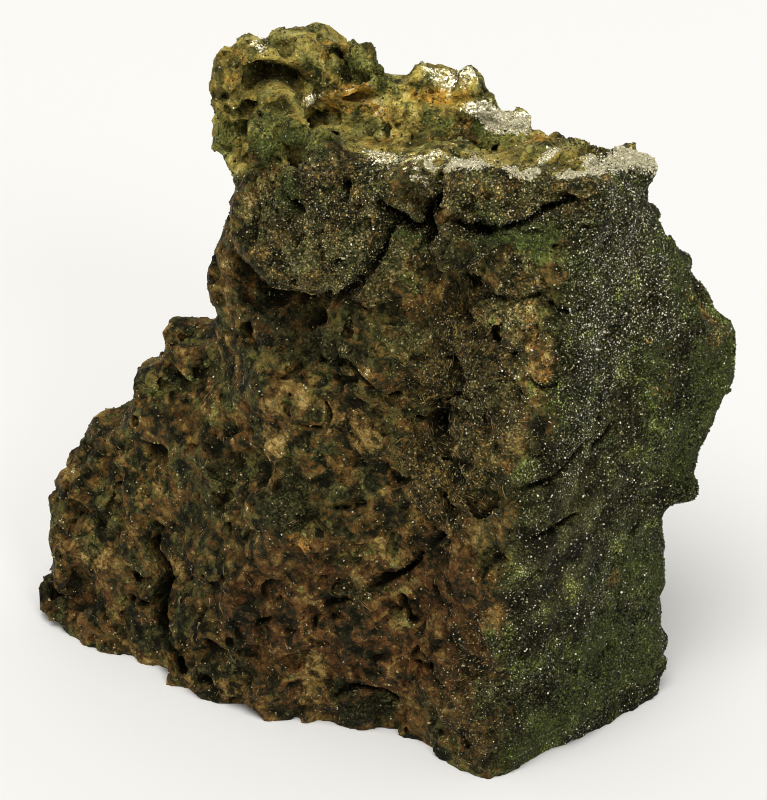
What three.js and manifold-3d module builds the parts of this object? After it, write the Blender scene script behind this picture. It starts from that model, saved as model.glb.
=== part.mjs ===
// A hand specimen of massive chromite ore: one broken lump of rock, about a fist in size,
// standing on its flattest side. It is a single solid, so the group holds one mesh.
//
// The lump is described by a field: negative inside the rock, positive outside, and near the
// surface about the distance to it in millimetres. Convex blocks are merged, hollows and
// cracks are carved from them, and the skin is roughened. The field is then read on a regular
// lattice and turned into one closed mesh.
//
// Frame: +Z up, with the underside resting at Z = 0. The sharp front edge points to -Y, the
// low shoulder runs out to -X, and the origin is the middle of the footprint.
import * as THREE from "three";
import { ConvexHull } from "three/addons/math/ConvexHull.js";
import { ImprovedNoise } from "three/addons/math/ImprovedNoise.js";
import { mergeVertices } from "three/addons/utils/BufferGeometryUtils.js";
import Module from "manifold-3d";

// ---- Driving dimensions, in millimetres ----
const LATTICE = 2.7; // spacing of the lattice that the field is read on
const SWELL = 0.5; // the blocks are grown by this much, which makes up for their rounded corners
const BLOCK_BLEND = 2.2; // how widely two blocks flow into each other
const CARVE_BLEND = 1.4; // how widely the lip of a hollow is rounded
const UNDER_REST = -6; // blocks run this far below the resting plane and are cut off at it
const SLIVER = 0.6; // no corner of the rough surface lies nearer than this to the cut
// Rolling lumps: each octave has half the period of the last and is weaker by 2 ** fade.
const ROUGH = { period: 13, height: 1.2, octaves: 2, fade: 0.7, start: 40 };
// Angular broken chunks: their size, how far one stands proud, its slope, and the seams between.
const CHUNK = { size: 9.5, step: 0.7, slope: 0.14, seam: 1.0, seamWidth: 2 };

// ---- Blocks: each is the convex hull of its corner points ----
const BLOCKS = {
  body: [
    [-26, -6.5, UNDER_REST], [-14, -13.5, UNDER_REST], [4.5, -16.5, UNDER_REST],
    [41, 11, UNDER_REST], [22, 28, UNDER_REST], [-10, 30.5, UNDER_REST], [-24, 27, UNDER_REST],
    [-14, -14, 26], [6, -17, 30], [-20.4, 3, 57], [-18, 5, 67], [-16.8, 6, 73],
    [-17, 15, 78], [-2, -7, 82], [15, -14, 82], [8, 15, 80], [30, 8, 79],
  ],
  // The sharp front edge and the flat right face beside it.
  prow: [
    [14.8, -30.2, UNDER_REST], [4, -16.5, UNDER_REST], [32, -18, UNDER_REST],
    [41.8, -8, UNDER_REST], [44.2, -2.4, UNDER_REST], [43, 8, UNDER_REST],
    [22, 6, UNDER_REST], [19.1, -29.8, 23],
    [21.7, -29.8, 37], [24.7, -29.2, 48], [26, -27.8, 59], [28, -25, 72], [30, -21.5, 83.5],
    [7, -16, 50], [15, -15.5, 83], [41.4, -3.5, 70], [38.4, -4, 78], [40, 8, 70], [35, 8, 79],
  ],
  // The low wedge that runs out to the left.
  shoulder: [
    [-48, 19, UNDER_REST], [-44, 9.8, UNDER_REST], [-40, 4.6, UNDER_REST],
    [-27, -5.5, UNDER_REST], [-10, -13, UNDER_REST], [-8, 28, UNDER_REST],
    [-28, 31, UNDER_REST], [-43, 28, UNDER_REST], [-44.6, 15, 17], [-44.6, 15, 25],
    [-41, 14, 30], [-33.1, 13, 39], [-28.5, 12, 47], [-20, 6, 53], [-6, -7, 54],
    [-6, 19, 55], [-25, 24, 40], [-41, 22, 22],
  ],
  // A small toe at the far left of the foot.
  shoulderToe: [
    [-51, 19.6, 0.5], [-50.2, 18.4, UNDER_REST], [-49, 19, 4.4], [-44.6, 11, UNDER_REST],
    [-44, 14, 6], [-43, 24, 4], [-45, 25, UNDER_REST],
  ],
  // A slab on the lower half of the back, whose top edge is a ledge.
  backLedge: [
    [-27, 29, UNDER_REST], [-4, 34, UNDER_REST], [16, 32, UNDER_REST], [22, 27, 20],
    [12, 28.5, 33], [-8, 29.5, 38], [-20, 28, 32], [-26, 27, 20], [0, 12, 44], [10, 12, UNDER_REST],
    [-20, 14, 36], [18, 12, 30],
  ],
  // A blunt knob on the crest of the shoulder.
  shoulderKnob: [
    [-28.3, 10, 47], [-27.8, 10, 52.4], [-27, 11, 53.8], [-20, 10, 53.2], [-19, 15, 53],
    [-27, 16, 51], [-28, 11, 40], [-18, 5, 42], [-18, 17, 42],
  ],
  // The swelling on the right flank, in line with the right face, which overhangs a notch.
  bulge: [
    [41.6, -4, 72], [43.8, -3, 66.6], [45, -2, 63.4], [47, 0, 60.2], [51.4, -1, 58.6],
    [52.6, -1, 53], [52.6, 4, 52], [53, -1, 46.4], [49.4, -1, 42.6], [46.4, -3, 38], [46.4, -4, 34],
    [36, -16.3, 36], [36, -16.6, 62], [48, 9, 56], [48, 9, 46], [40, 16, 48], [38, 15, 60],
    [30, 21, 38], [28, 20, 62], [42, 8, 66], [43, 7, 35],
  ],
  bulgeToe: [
    [43, -5, 36], [47.6, -4, 34.4], [49.4, -5, 31], [44, -8, 28.8], [40, -9, 30], [38, -12, 36],
    [42, 5, 31], [47.4, 2, 31.5],
  ],
  // The hanging lobe at the top of the left face.
  lobe: [
    [-16.5, -2, 79], [-6, -8, 80], [5, -12, 82], [7, -13, 76], [5, -15, 70.5],
    [0, -15.5, 66], [-7, -12.5, 66.5], [-13.5, -8.5, 69.5], [-16.8, -4, 72], [-8, 1, 80],
    [2, -3, 82], [-10, -3, 62], [2, -9, 62],
  ],
  // A smooth plate that stands proud in the middle of the left face.
  plate: [
    [-4, -12.8, 61], [4, -15.4, 62], [8.5, -17.8, 58], [6.6, -18.4, 54], [2, -16.8, 56],
    [-3.6, -14.2, 59], [0, -8, 62], [6, -10, 55],
  ],
  // The slab that caps the front and ends in the crusted rim.
  cap: [
    [5, -12, 87.6], [12, -17, 88], [18.4, -18.6, 87], [24, -20.3, 86.2], [30.5, -21.5, 87.4],
    [35, -12, 85], [40, -5, 83.4], [38.2, -5, 77.5], [6, -15, 77], [14, -20, 79.5],
    [17, -21.3, 79], [24, -23.3, 82.5], [31, -22.3, 84], [37, 0, 84.2], [32, 4, 81], [12, 1, 80],
  ],
  lowKnob: [
    [-15, 1, 87], [-11, 0, 88.5], [-7.5, -1, 87], [-16, 0, 80], [-15, -3, 82], [-5, -6, 84],
    [-4, -7, 78], [-16, -2, 72], [-12, 7, 88], [-6.5, 5, 86.5], [-15, 7, 78],
  ],
  towerColumn: [
    [-18.8, 10, 92.6], [-16, 11, 93.6], [-13, 7, 92.5], [-20.6, 10, 85], [-19.2, 9, 78],
    [-17.8, 6, 74], [-8, 3, 75], [-10, 7, 88], [-17, 16, 91], [-18, 17, 76], [-8, 17, 90],
    [-6, 15, 76],
  ],
  towerTop: [
    [-13.4, 13, 94], [-9, 14, 94.6], [-4.4, 14, 94], [-2.2, 14, 91.4], [-14, 19, 91],
    [-4, 20, 91], [-12, 10, 84], [2, 10, 80], [1, 19, 80], [-14, 19, 78], [-2, 9, 86],
  ],
  towerHorn: [
    [-2, 12, 91.4], [-1.2, 13, 92.4], [0.8, 13, 92.2], [2.4, 13, 89.8], [3.6, 12, 87.4],
    [-2, 10, 80], [-1, 18, 88], [2.5, 18, 82], [4.5, 13, 78],
  ],
  // The knob and the falling ridge along the back of the top.
  backRim: [
    [3.4, 12, 87.8], [7, 11, 90.8], [14, 11, 91], [17, 11, 91], [18, 10, 87.4],
    [21, 8, 85.4], [26.8, 6, 83.2], [29.8, 5, 80.8], [5, 15, 82], [15, 17, 84], [22, 11, 78],
    [5, 6, 80], [18, 2, 79], [27, 1, 79], [30, 8, 74], [4, 15, 76],
  ],
};

// ---- Rounded lumps that stand out of the blocks, and hollows cut into them ----
const NODULES = [
  { at: [13.5, -19.5, 77.5], radii: [4.6, 4, 4.2] }, // round nodule under the cap
  { at: [-34.4, 9.9, 13], radii: [6.5, 5.2, 8] }, // lumps of the shoulder, either side of its crack
  { at: [-18.8, -1.6, 20.5], radii: [6, 5.2, 7.5] },
  { at: [-7, -7, 47.6], radii: [6, 5.6, 6] }, // round swelling of the left face
  { at: [8, -14.6, 11.5], radii: [7, 5.4, 5.5] }, // boss over the foot of the left face
  { at: [15, -22.5, 29], radii: [4, 4.4, 8] },
  { at: [41, -5, 19], radii: [2.6, 4, 5] },
];
const HOLLOWS = [
  { at: [15, -2, 92.5], radii: [18.5, 13, 9.5] }, // the dished top
  { at: [-11, 5, 87.5], radii: [3, 6, 2.5] }, // cave in the tower
  { at: [2, 24, 60], radii: [10, 6, 9] }, // scoop high on the back
  { at: [45.5, -5, 26.4], radii: [5, 8, 2.4] }, // notch below the swelling
  { at: [-0.5, -18.5, 6.5], radii: [5, 3.4, 2.4] }, // undercut near the foot of the left face
  { at: [10.1, -19.4, 49.2], radii: [2.4, 2.8, 3.6] }, // pits of the left face
  { at: [9, -20.4, 32.5], radii: [3.4, 2.8, 2.2] },
  { at: [-19.6, 1.2, 59], radii: [2.2, 3, 4] },
  { at: [-31.4, 4.8, 29.8], radii: [4, 2.6, 2.2] },
];

// ---- Cracks: a groove of the given radius along a path ----
const CRACKS = [
  { radius: 1.6, path: [[-1, -15, 65], [3, -16, 69], [6, -15, 75], [8, -15.6, 79.5], [11, -18, 81]] },
  { radius: 1.4, path: [[14.5, -22, 81], [18.5, -23, 81.6], [23.5, -23.3, 83.4], [29, -22, 84.4]] },
  { radius: 1.6, path: [[-28.2, -1.2, 5], [-28, -0.8, 13], [-28.8, 1.4, 20]] },
  { radius: 1.3, path: [[-8.3, -15.6, 14], [-1, -17, 15], [5.7, -18.6, 17.6]] },
  { radius: 1.3, path: [[-3, -13.6, 57.4], [2.3, -16, 54.2], [6.5, -18, 52]] },
];

// ---- Field ----
const noise = new ImprovedNoise();

function smoothMin(a, b, width) {
  const near = Math.max(width - Math.abs(a - b), 0) / width;
  return Math.min(a, b) - (near * near * width) / 4;
}

function smoothMax(a, b, width) {
  return -smoothMin(-a, -b, width);
}

function blockField(corners) {
  const hull = new ConvexHull().setFromPoints(corners.map((c) => new THREE.Vector3(...c)));
  return (p) => hull.faces.reduce((far, face) => Math.max(far, face.distanceToPoint(p)), -Infinity);
}

function ellipsoidField({ at, radii }) {
  const centre = new THREE.Vector3(...at);
  const size = new THREE.Vector3(...radii);
  const least = Math.min(...radii);
  return (p) => (p.clone().sub(centre).divide(size).length() - 1) * least;
}

function crackField({ radius, path }) {
  const points = path.map((c) => new THREE.Vector3(...c));
  const pieces = points.slice(1).map((end, i) => new THREE.Line3(points[i], end));
  const foot = new THREE.Vector3();
  return (p) =>
    pieces.reduce((d, piece) => {
      piece.closestPointToPoint(p, true, foot);
      return Math.min(d, foot.distanceTo(p));
    }, Infinity) - radius;
}

// A number from 0 to 1 that is always the same for the same three whole numbers.
function hash(i, j, k) {
  const s = Math.sin(i * 127.1 + j * 311.7 + k * 74.7) * 43758.5453;
  return s - Math.floor(s);
}

// The rough skin is laid out in axes of its own, so that it shows no lines along X, Y or Z.
const grain = new THREE.Matrix4().makeRotationFromEuler(new THREE.Euler(0.6, 0.9, 0.3));

function rolling(p) {
  let sum = 0;
  for (let octave = 0; octave < ROUGH.octaves; octave++) {
    const period = ROUGH.period / 2 ** octave;
    const wave = noise.noise((p.x + ROUGH.start) / period, p.y / period, p.z / period);
    sum += (wave * ROUGH.height) / 2 ** (octave * ROUGH.fade);
  }
  return sum;
}

// Broken chunks: space is split into cells round scattered points. Each cell is raised or
// sunk by its own step, and a seam runs where two cells meet.
function chunks(p) {
  const cell = p.clone().divideScalar(CHUNK.size);
  const base = cell.clone().floor();
  let first = Infinity;
  let second = Infinity;
  let level = 0;
  let tilt = 0;
  for (let i = base.x - 1; i <= base.x + 1; i++)
    for (let j = base.y - 1; j <= base.y + 1; j++)
      for (let k = base.z - 1; k <= base.z + 1; k++) {
        const seed = new THREE.Vector3(i + hash(i, j, k), j + hash(j, k, i), k + hash(k, i, j));
        const d = seed.distanceTo(cell) * CHUNK.size;
        if (d < first) {
          second = first;
          first = d;
          level = hash(i + 7, j + 3, k + 5) * 2 - 1;
          const lean = new THREE.Vector3(hash(i + 11, j, k), hash(i, j + 11, k), hash(i, j, k + 11));
          tilt = lean.multiplyScalar(2).subScalar(1).dot(cell.clone().sub(seed)) * CHUNK.size;
        } else second = Math.min(second, d);
      }
  const seam = Math.max(0, 1 - (second - first) / (2 * CHUNK.seamWidth));
  return level * CHUNK.step + tilt * CHUNK.slope - seam * CHUNK.seam;
}

const blocks = Object.values(BLOCKS).map(blockField);
const nodules = NODULES.map(ellipsoidField);
const hollows = HOLLOWS.map(ellipsoidField);
const cracks = CRACKS.map(crackField);

function rock(p) {
  let d = Infinity;
  for (const block of blocks) d = smoothMin(d, block(p), BLOCK_BLEND);
  for (const hollow of hollows) d = smoothMax(d, -hollow(p), CARVE_BLEND);
  for (const nodule of nodules) d = smoothMin(d, nodule(p), CARVE_BLEND);
  for (const crack of cracks) d = smoothMax(d, -crack(p), CARVE_BLEND);
  const turned = p.clone().applyMatrix4(grain);
  d -= SWELL + rolling(turned) + chunks(turned);
  return d;
}

// ---- Surface: one point in every lattice cell that the surface crosses ----
const JUST_INSIDE = -0.1; // the field at a filled lattice point, in lattice spacings

function latticeOver(points, spacing, spare) {
  const box = new THREE.Box3().setFromPoints(points).expandByScalar(spare);
  const counts = box.getSize(new THREE.Vector3()).divideScalar(spacing).ceil();
  return { low: box.min, nx: counts.x + 1, ny: counts.y + 1, nz: counts.z + 1, spacing };
}

function surfaceOf(field, { low, nx, ny, nz, spacing }) {
  const at = (i, j, k) => i + nx * (j + ny * k);
  const place = (i, j, k) => new THREE.Vector3(i, j, k).multiplyScalar(spacing).add(low);
  const value = new Float64Array(nx * ny * nz);
  for (let k = 0; k < nz; k++)
    for (let j = 0; j < ny; j++)
      for (let i = 0; i < nx; i++) value[at(i, j, k)] = field(place(i, j, k));
  const inside = (i, j, k) => value[at(i, j, k)] < 0;

  // Where a lattice square is inside at two opposite corners only, the mesh would pinch.
  // Filling one more corner of it opens the pinch; a filled corner can make another, so the
  // sweep is repeated until it finds none.
  const squares = [[[1, 0, 0], [0, 1, 0]], [[0, 1, 0], [0, 0, 1]], [[0, 0, 1], [1, 0, 0]]];
  for (let filled = true; filled; ) {
    filled = false;
    for (let k = 0; k < nz - 1; k++)
      for (let j = 0; j < ny - 1; j++)
        for (let i = 0; i < nx - 1; i++)
          for (const [u, v] of squares) {
            const a = [i, j, k];
            const b = [i + u[0], j + u[1], k + u[2]];
            const c = [i + v[0], j + v[1], k + v[2]];
            const d = [b[0] + v[0], b[1] + v[1], b[2] + v[2]];
            const main = inside(...a) && inside(...d) && !inside(...b) && !inside(...c);
            const cross = inside(...b) && inside(...c) && !inside(...a) && !inside(...d);
            if (!main && !cross) continue;
            const [p, q] = main ? [b, c] : [a, d];
            const corner = value[at(...p)] < value[at(...q)] ? p : q;
            value[at(...corner)] = JUST_INSIDE * spacing;
            filled = true;
          }
  }

  const positions = [];
  const vertexOf = new Map();
  const vertex = (i, j, k) => {
    const key = at(i, j, k);
    if (vertexOf.has(key)) return vertexOf.get(key);
    const sum = new THREE.Vector3();
    let crossings = 0;
    for (let corner = 0; corner < 8; corner++)
      for (const axis of [1, 2, 4]) {
        if (corner & axis) continue;
        const other = corner | axis;
        const from = [i + (corner & 1), j + ((corner >> 1) & 1), k + (corner >> 2)];
        const to = [i + (other & 1), j + ((other >> 1) & 1), k + (other >> 2)];
        const va = value[at(...from)];
        const vb = value[at(...to)];
        if (va < 0 === vb < 0) continue;
        sum.add(place(...from).lerp(place(...to), va / (va - vb)));
        crossings++;
      }
    sum.divideScalar(crossings);
    const index = positions.length / 3;
    positions.push(sum.x, sum.y, sum.z);
    vertexOf.set(key, index);
    return index;
  };

  // A quad round every lattice edge that the surface crosses, split along its shorter diagonal.
  const triangles = [];
  const corner = (n) => new THREE.Vector3().fromArray(positions, 3 * n);
  const quad = (a, b, c, d) => {
    if (corner(a).distanceTo(corner(c)) < corner(b).distanceTo(corner(d)))
      triangles.push(a, b, c, a, c, d);
    else triangles.push(b, c, d, b, d, a);
  };
  for (let k = 1; k < nz - 1; k++)
    for (let j = 1; j < ny - 1; j++)
      for (let i = 1; i < nx - 1; i++) {
        const here = inside(i, j, k);
        if (here !== inside(i + 1, j, k)) {
          const ring = [vertex(i, j - 1, k - 1), vertex(i, j, k - 1), vertex(i, j, k), vertex(i, j - 1, k)];
          quad(...(here ? ring : ring.reverse()));
        }
        if (here !== inside(i, j + 1, k)) {
          const ring = [vertex(i - 1, j, k - 1), vertex(i - 1, j, k), vertex(i, j, k), vertex(i, j, k - 1)];
          quad(...(here ? ring : ring.reverse()));
        }
        if (here !== inside(i, j, k + 1)) {
          const ring = [vertex(i - 1, j - 1, k), vertex(i, j - 1, k), vertex(i, j, k), vertex(i - 1, j, k)];
          quad(...(here ? ring : ring.reverse()));
        }
      }

  const geometry = new THREE.BufferGeometry();
  geometry.setAttribute("position", new THREE.Float32BufferAttribute(positions, 3));
  geometry.setIndex(triangles);
  return geometry;
}

// ---- The flat underside: everything below Z = 0 is cut away ----
const wasm = await Module();
wasm.setup();

function solidOf(geometry) {
  geometry.deleteAttribute("normal");
  geometry.deleteAttribute("uv");
  const merged = mergeVertices(geometry);
  const vertProperties = new Float32Array(merged.attributes.position.array);
  const triVerts = new Uint32Array(merged.index.array);
  return new wasm.Manifold(new wasm.Mesh({ numProp: 3, vertProperties, triVerts }));
}

function cutFlatUnderneath(geometry) {
  // A corner very near the plane is moved off it a little, so that the cut leaves no slivers.
  const { position } = geometry.attributes;
  for (let n = 0; n < position.count; n++)
    if (Math.abs(position.getZ(n)) < SLIVER) position.setZ(n, position.getZ(n) < 0 ? -SLIVER : SLIVER);
  geometry.computeBoundingBox();
  const size = geometry.boundingBox.getSize(new THREE.Vector3());
  const below = new THREE.BoxGeometry(4 * size.x, 4 * size.y, size.z).translate(0, 0, -size.z / 2);
  const bodies = solidOf(geometry).subtract(solidOf(below)).decompose();
  // The largest body is the rock. A carving can also leave a sealed void, which is filled.
  const [whole] = bodies.sort((a, b) => b.volume() - a.volume());
  const { vertProperties, triVerts } = whole.getMesh();
  const cut = new THREE.BufferGeometry();
  cut.setAttribute("position", new THREE.Float32BufferAttribute(vertProperties, 3));
  cut.setIndex(Array.from(triVerts));
  return cut;
}

const corners = Object.values(BLOCKS).flat().map((c) => new THREE.Vector3(...c));
const lattice = latticeOver(corners, LATTICE, 2 * LATTICE);
const geometry = cutFlatUnderneath(surfaceOf(rock, lattice));
geometry.computeVertexNormals();
geometry.computeBoundingBox();

const ore = new THREE.MeshStandardMaterial({ color: 0x3b3226, roughness: 0.82, metalness: 0.05 });
const rockMesh = new THREE.Mesh(geometry, ore);
rockMesh.name = "chromite_rock";
const middle = geometry.boundingBox.getCenter(new THREE.Vector3());
rockMesh.position.set(-middle.x, -middle.y, 0);

const specimen = new THREE.Group();
specimen.add(rockMesh);
export default specimen;
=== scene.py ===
"""The looks of a chromite hand specimen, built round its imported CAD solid.

The CAD solid gives the form. It is read as a distance field, its facets are smoothed away, and
broken chips, knobs, pits and cracks are added to the field before it becomes one fine mesh.
Grains, crust, moss and fibres are small closed bodies scattered over that mesh.
All lengths are millimetres in the part's own frame, +Z up, until a mesh, a noise, a lamp or the
camera is made from them.
"""

import math

import bpy
import numpy as np
import openvdb as vdb
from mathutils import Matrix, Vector


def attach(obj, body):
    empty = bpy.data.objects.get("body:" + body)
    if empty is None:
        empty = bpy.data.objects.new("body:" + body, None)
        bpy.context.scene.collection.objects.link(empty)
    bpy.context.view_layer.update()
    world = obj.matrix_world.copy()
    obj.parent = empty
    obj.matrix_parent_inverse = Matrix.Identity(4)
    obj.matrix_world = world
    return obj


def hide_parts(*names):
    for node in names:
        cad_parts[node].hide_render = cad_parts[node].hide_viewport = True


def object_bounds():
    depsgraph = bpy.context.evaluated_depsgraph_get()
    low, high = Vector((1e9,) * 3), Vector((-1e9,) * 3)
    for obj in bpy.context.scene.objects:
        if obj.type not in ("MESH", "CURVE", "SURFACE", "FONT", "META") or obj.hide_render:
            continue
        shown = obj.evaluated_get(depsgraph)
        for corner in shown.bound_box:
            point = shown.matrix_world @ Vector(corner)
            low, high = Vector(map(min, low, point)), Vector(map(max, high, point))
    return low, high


MM = 0.001  # one millimetre in metres
SEED = 7

# ---- The skin: how finely it is made ----
CELL = 0.38  # spacing of the points that the field is held on
BAND = 6.0  # how far from the solid its distance is known
MARGIN = 3.0  # room round the solid
SKIRT = 5.0  # the solid is carried on this far below the floor before it is smoothed and cut
ON_FLOOR = 1e-4  # a corner of the solid below this height lies on the floor
FACET_BLUR = 1.0  # smoothing that takes away the solid's facets
SKIN_TRIANGLES = 196_000
FRONT_FAVOUR = 2.5e-6  # how much dearer it is to drop a corner at the front than at the back
CRYSTAL_DEPTH = 0.05  # spread of the small moves that leave crystal faces
FOOT_RISE = 0.8  # below this height the foot is no wider than the rock is at this height
INSET = 0.25  # the skin stays this far inside the solid's box, which leaves room for grains
EDGE_GAP = 0.02  # the grains stay this far inside it

# ---- Relief ----
WARP_PERIOD = 2.6  # the waves that make pits, cracks and patches crooked
WAVES = [(6.5, 10), (3.6, 11), (1.9, 12), (1.1, 13)]  # from wide to fine: (period, random offset)
LEDGE_STEP = 0.5
LEDGE_SHARPNESS = 3.5
FLANK_START = 40.0  # the flat side turns to the back near this x,
FLANK_LEAN = 0.35  # and the place where it does leans back this much for each mm to the right
MOST_PROUD = 0.9  # how far a chip or knob may stand out of the smoothed solid
PROUD_CUT = 2.5  # how far in front of its path a crack still cuts what stands there
PATH_STEP = 0.9  # a crack's path is found on the rock at stops this far apart
# Chips, left proud or knocked out: (how many, size, how proud, share on the flat side).
CHIPS = [(150, 3.4, 0.6, 0.0), (600, 2.0, 0.45, 0.1), (1500, 1.2, 0.34, 0.35)]
# Rounded knobs (1) and the pits between them (-1): (how many, size, where, sign).
KNOBS = [
    (110, 2.1, "tower", 1), (300, 1.2, "tower", 1), (170, 1.0, "basin", 1), (900, 0.65, "crusted", 1),
    (36, 1.1, "tower", -1), (30, 0.8, "basin", -1), (260, 0.55, "holed", -1)]
# Small pores: (how many, size, where).
PORES = [(170, 0.5, "broken"), (60, 0.45, "right"), (26, 0.75, "broken")]

# ---- Light and camera ----
FLOOR_HALF = 3000.0  # half the side of the white floor
SUN_FROM = (-0.14, -0.45, 1.0)
LAMP_PLACE = (300, -800, 600)
LAMP_SIZE = 200
LAMP_AIM = (0, 0, 45)
EYE_TILT = math.radians(28)  # how far the camera looks down
EYE_AIM = (1.376, -0.549, 43.5)
EYE_FAR = 466.667

# ---- Directions: into the rock through its two flat sides, and under its cap ----
INTO_LEFT = (0.42, 0.85, -0.32)
INTO_RIGHT = (-0.62, 0.70, -0.35)
INTO_UNDER_CAP = (0.12, 0.88, -0.42)

# ---- Cracks: width at the mouth, depth, way in, and the path over the front as (x, z) ----
CRACKS = {
    "under_cap_left": (2.4, 6, INTO_UNDER_CAP, [
        (2.2, 78.4), (3.2, 77.6), (5.3, 76.9), (6.8, 78.2), (7.8, 80), (9, 81.2)]),
    "under_cap": (1.9, 7, INTO_UNDER_CAP, [
        (9, 81.2), (10.4, 81.5), (11.7, 81.1), (13.2, 80.8), (14.3, 80.7), (15.2, 81.2)]),
    "under_cap_right": (1.3, 5.5, INTO_UNDER_CAP, [
        (15.2, 81.2), (16.9, 81.7), (18.7, 82.1), (20.9, 82.6), (22.4, 83.2), (23.8, 84), (25.2, 84.9)]),
    "under_cap_mouth": (2.6, 5, INTO_UNDER_CAP, [(13.2, 80.6), (14.4, 80.2)]),
    "cap_hole": (1.8, 3, INTO_LEFT, [(24.4, 84.4), (26, 84.9)]),
    "cap_end": (0.8, 1.5, INTO_RIGHT, [(27, 85.2), (29.7, 85.9)]),
    "nodule_left": (1.4, 9, INTO_UNDER_CAP, [
        (7.6, 80), (7.1, 79), (7, 77.4), (7.3, 76), (8.2, 74.9), (9.4, 74.3)]),
    "nodule_under": (1.8, 6, INTO_UNDER_CAP, [(9.4, 74.3), (10.8, 74), (12.2, 74.6), (13.4, 75.6)]),
    "nodule_right": (1, 2.5, INTO_UNDER_CAP, [(12.8, 80.4), (13.8, 79.4), (14.2, 78.2)]),
    "moss_seam": (0.7, 1.4, INTO_LEFT, [(16.4, 79.6), (17.5, 80.3), (19.2, 80.7), (21.8, 80.6)]),
    "glint_seam": (1, 2.2, INTO_LEFT, [(16.2, 69.6), (19, 70.6), (21.2, 70.9), (24, 70.1), (26.6, 70.2)]),
    "streak_seam": (0.7, 1, INTO_LEFT, [(20.7, 67.4), (21, 65.4)]),
    "disc_ring": (0.8, 1.4, INTO_LEFT, [(23.6, 62.4), (24, 60.8), (23.2, 59.3), (21.8, 59), (20.5, 60)]),
    "under_lobe": (2.2, 5.5, (0.45, 0.85, 0.25), [
        (2.8, 77.7), (1.6, 75), (0.3, 72.1), (-1.7, 68.9), (-4, 65.5), (-7, 63.5)]),
    "under_lobe_left": (3.4, 5.5, (0.42, 0.8, 0.35), [(-7, 63.2), (-10, 62.4), (-13, 63), (-16.5, 65)]),
    "under_lobe_hole": (2.6, 4, INTO_LEFT, [(2.4, 78.4), (3.4, 77.4)]),
    "right_long": (1.4, 3.6, INTO_RIGHT, [
        (19, 45.4), (21.2, 45.7), (23.6, 46), (25, 47.3), (26.4, 48.2), (28.1, 48.9)]),
    "right_long_end": (0.8, 1.6, INTO_RIGHT, [(29.4, 47.6), (30.6, 47.7), (32.4, 49.6)]),
    "right_short": (0.9, 2.2, INTO_RIGHT, [
        (18.3, 40.2), (20.3, 39.7), (21.6, 39.2), (23.9, 38.7), (26.1, 38.2), (27.8, 38.6)]),
    "left_ledge": (1.3, 4, (0.45, 0.85, 0.2), [
        (-7.2, 55.6), (-4.1, 56.4), (-2, 55.7), (-0.4, 54.8), (1, 53.4), (2.1, 52.2), (3.7, 53)]),
    "left_hole": (2.6, 4.5, INTO_LEFT, [(8.3, 51.6), (8.8, 49.4), (9.1, 47.4)]),
    "left_hole_top": (0.9, 2.5, INTO_LEFT, [(7.1, 50.8), (9.1, 52.6), (11.2, 54.6), (12.6, 54.9)]),
    "lump_arc": (0.7, 1.6, INTO_LEFT, [
        (-6.4, 50.6), (-6, 49.2), (-6.8, 47.4), (-8.1, 46.6), (-9.6, 46.9)]),
    "left_long": (0.95, 3.2, INTO_LEFT, [
        (10.6, 36.4), (8.8, 33.2), (7.1, 30.6), (6, 28.2), (4.9, 26.4), (2.7, 24.8), (-0.4, 23.4)]),
    "left_long_pit": (1.7, 2.6, INTO_LEFT, [(3.6, 25), (1.2, 24.4)]),
    "dark_seam": (1.1, 2.2, INTO_LEFT, [(-5.7, 35.6), (-3.6, 36.4), (-1.4, 36.8)]),
    "dark_pit": (2, 3.5, INTO_LEFT, [(9.2, 40.4), (10, 39.4)]),
    "low_seam_a": (0.9, 2, INTO_LEFT, [(-9.3, 19.2), (-8.4, 16.8)]),
    "low_seam_b": (1, 2, INTO_LEFT, [(-6.4, 19.4), (-3.5, 21)]),
    "low_seam_c": (0.9, 2, INTO_LEFT, [(4.5, 22.8), (5.2, 20)]),
    "low_seam_d": (0.7, 1.5, INTO_LEFT, [(5.4, 13.6), (7.9, 13.4), (9.4, 12)]),
    "foot_arc": (0.75, 1.8, INTO_LEFT, [(-6.2, 4.4), (-4.6, 6.2), (-1.9, 7.4), (0.9, 7.2), (3.1, 5.6)]),
    "shoulder_cleft": (2.2, 6, INTO_LEFT, [
        (-31.2, 20.6), (-31.8, 19), (-30.4, 17.2), (-29.4, 15.6), (-30.4, 13.4), (-30.6, 10.8),
        (-30.6, 8), (-29.8, 5.4), (-28.4, 3)]),
    "shoulder_side": (1.3, 3, INTO_LEFT, [(-35, 10), (-31, 10.6)]),
    "notch": (1.3, 4, (0.3, 0.95, -0.2), [(-3.9, 81.6), (-3.4, 80.4), (-3.8, 79)]),
    "cave": (3.4, 4.2, (0.1, 1, -0.3), [(-16.4, 88.6), (-14.8, 89.5), (-12.4, 89.2), (-10.4, 88.4)]),
    "column_groove": (2.1, 4.5, (0.5, 0.85, -0.1), [
        (-16.2, 90), (-16.8, 87.6), (-17.2, 85.4), (-17.4, 82.6), (-17.2, 79.5)]),
    "column_low": (1.2, 3, (0.5, 0.85, 0.1), [(-17.2, 79.5), (-16, 76), (-16.4, 72)]),
    "lobe_fold": (1.1, 2.4, INTO_LEFT, [(-13.2, 82), (-13, 79.6), (-11.4, 77.6)]),
    "horn_side": (1.2, 3, (0.2, 0.95, -0.2), [(-5.4, 90.8), (-4.2, 89.4), (-4, 87.6)]),
}

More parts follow.
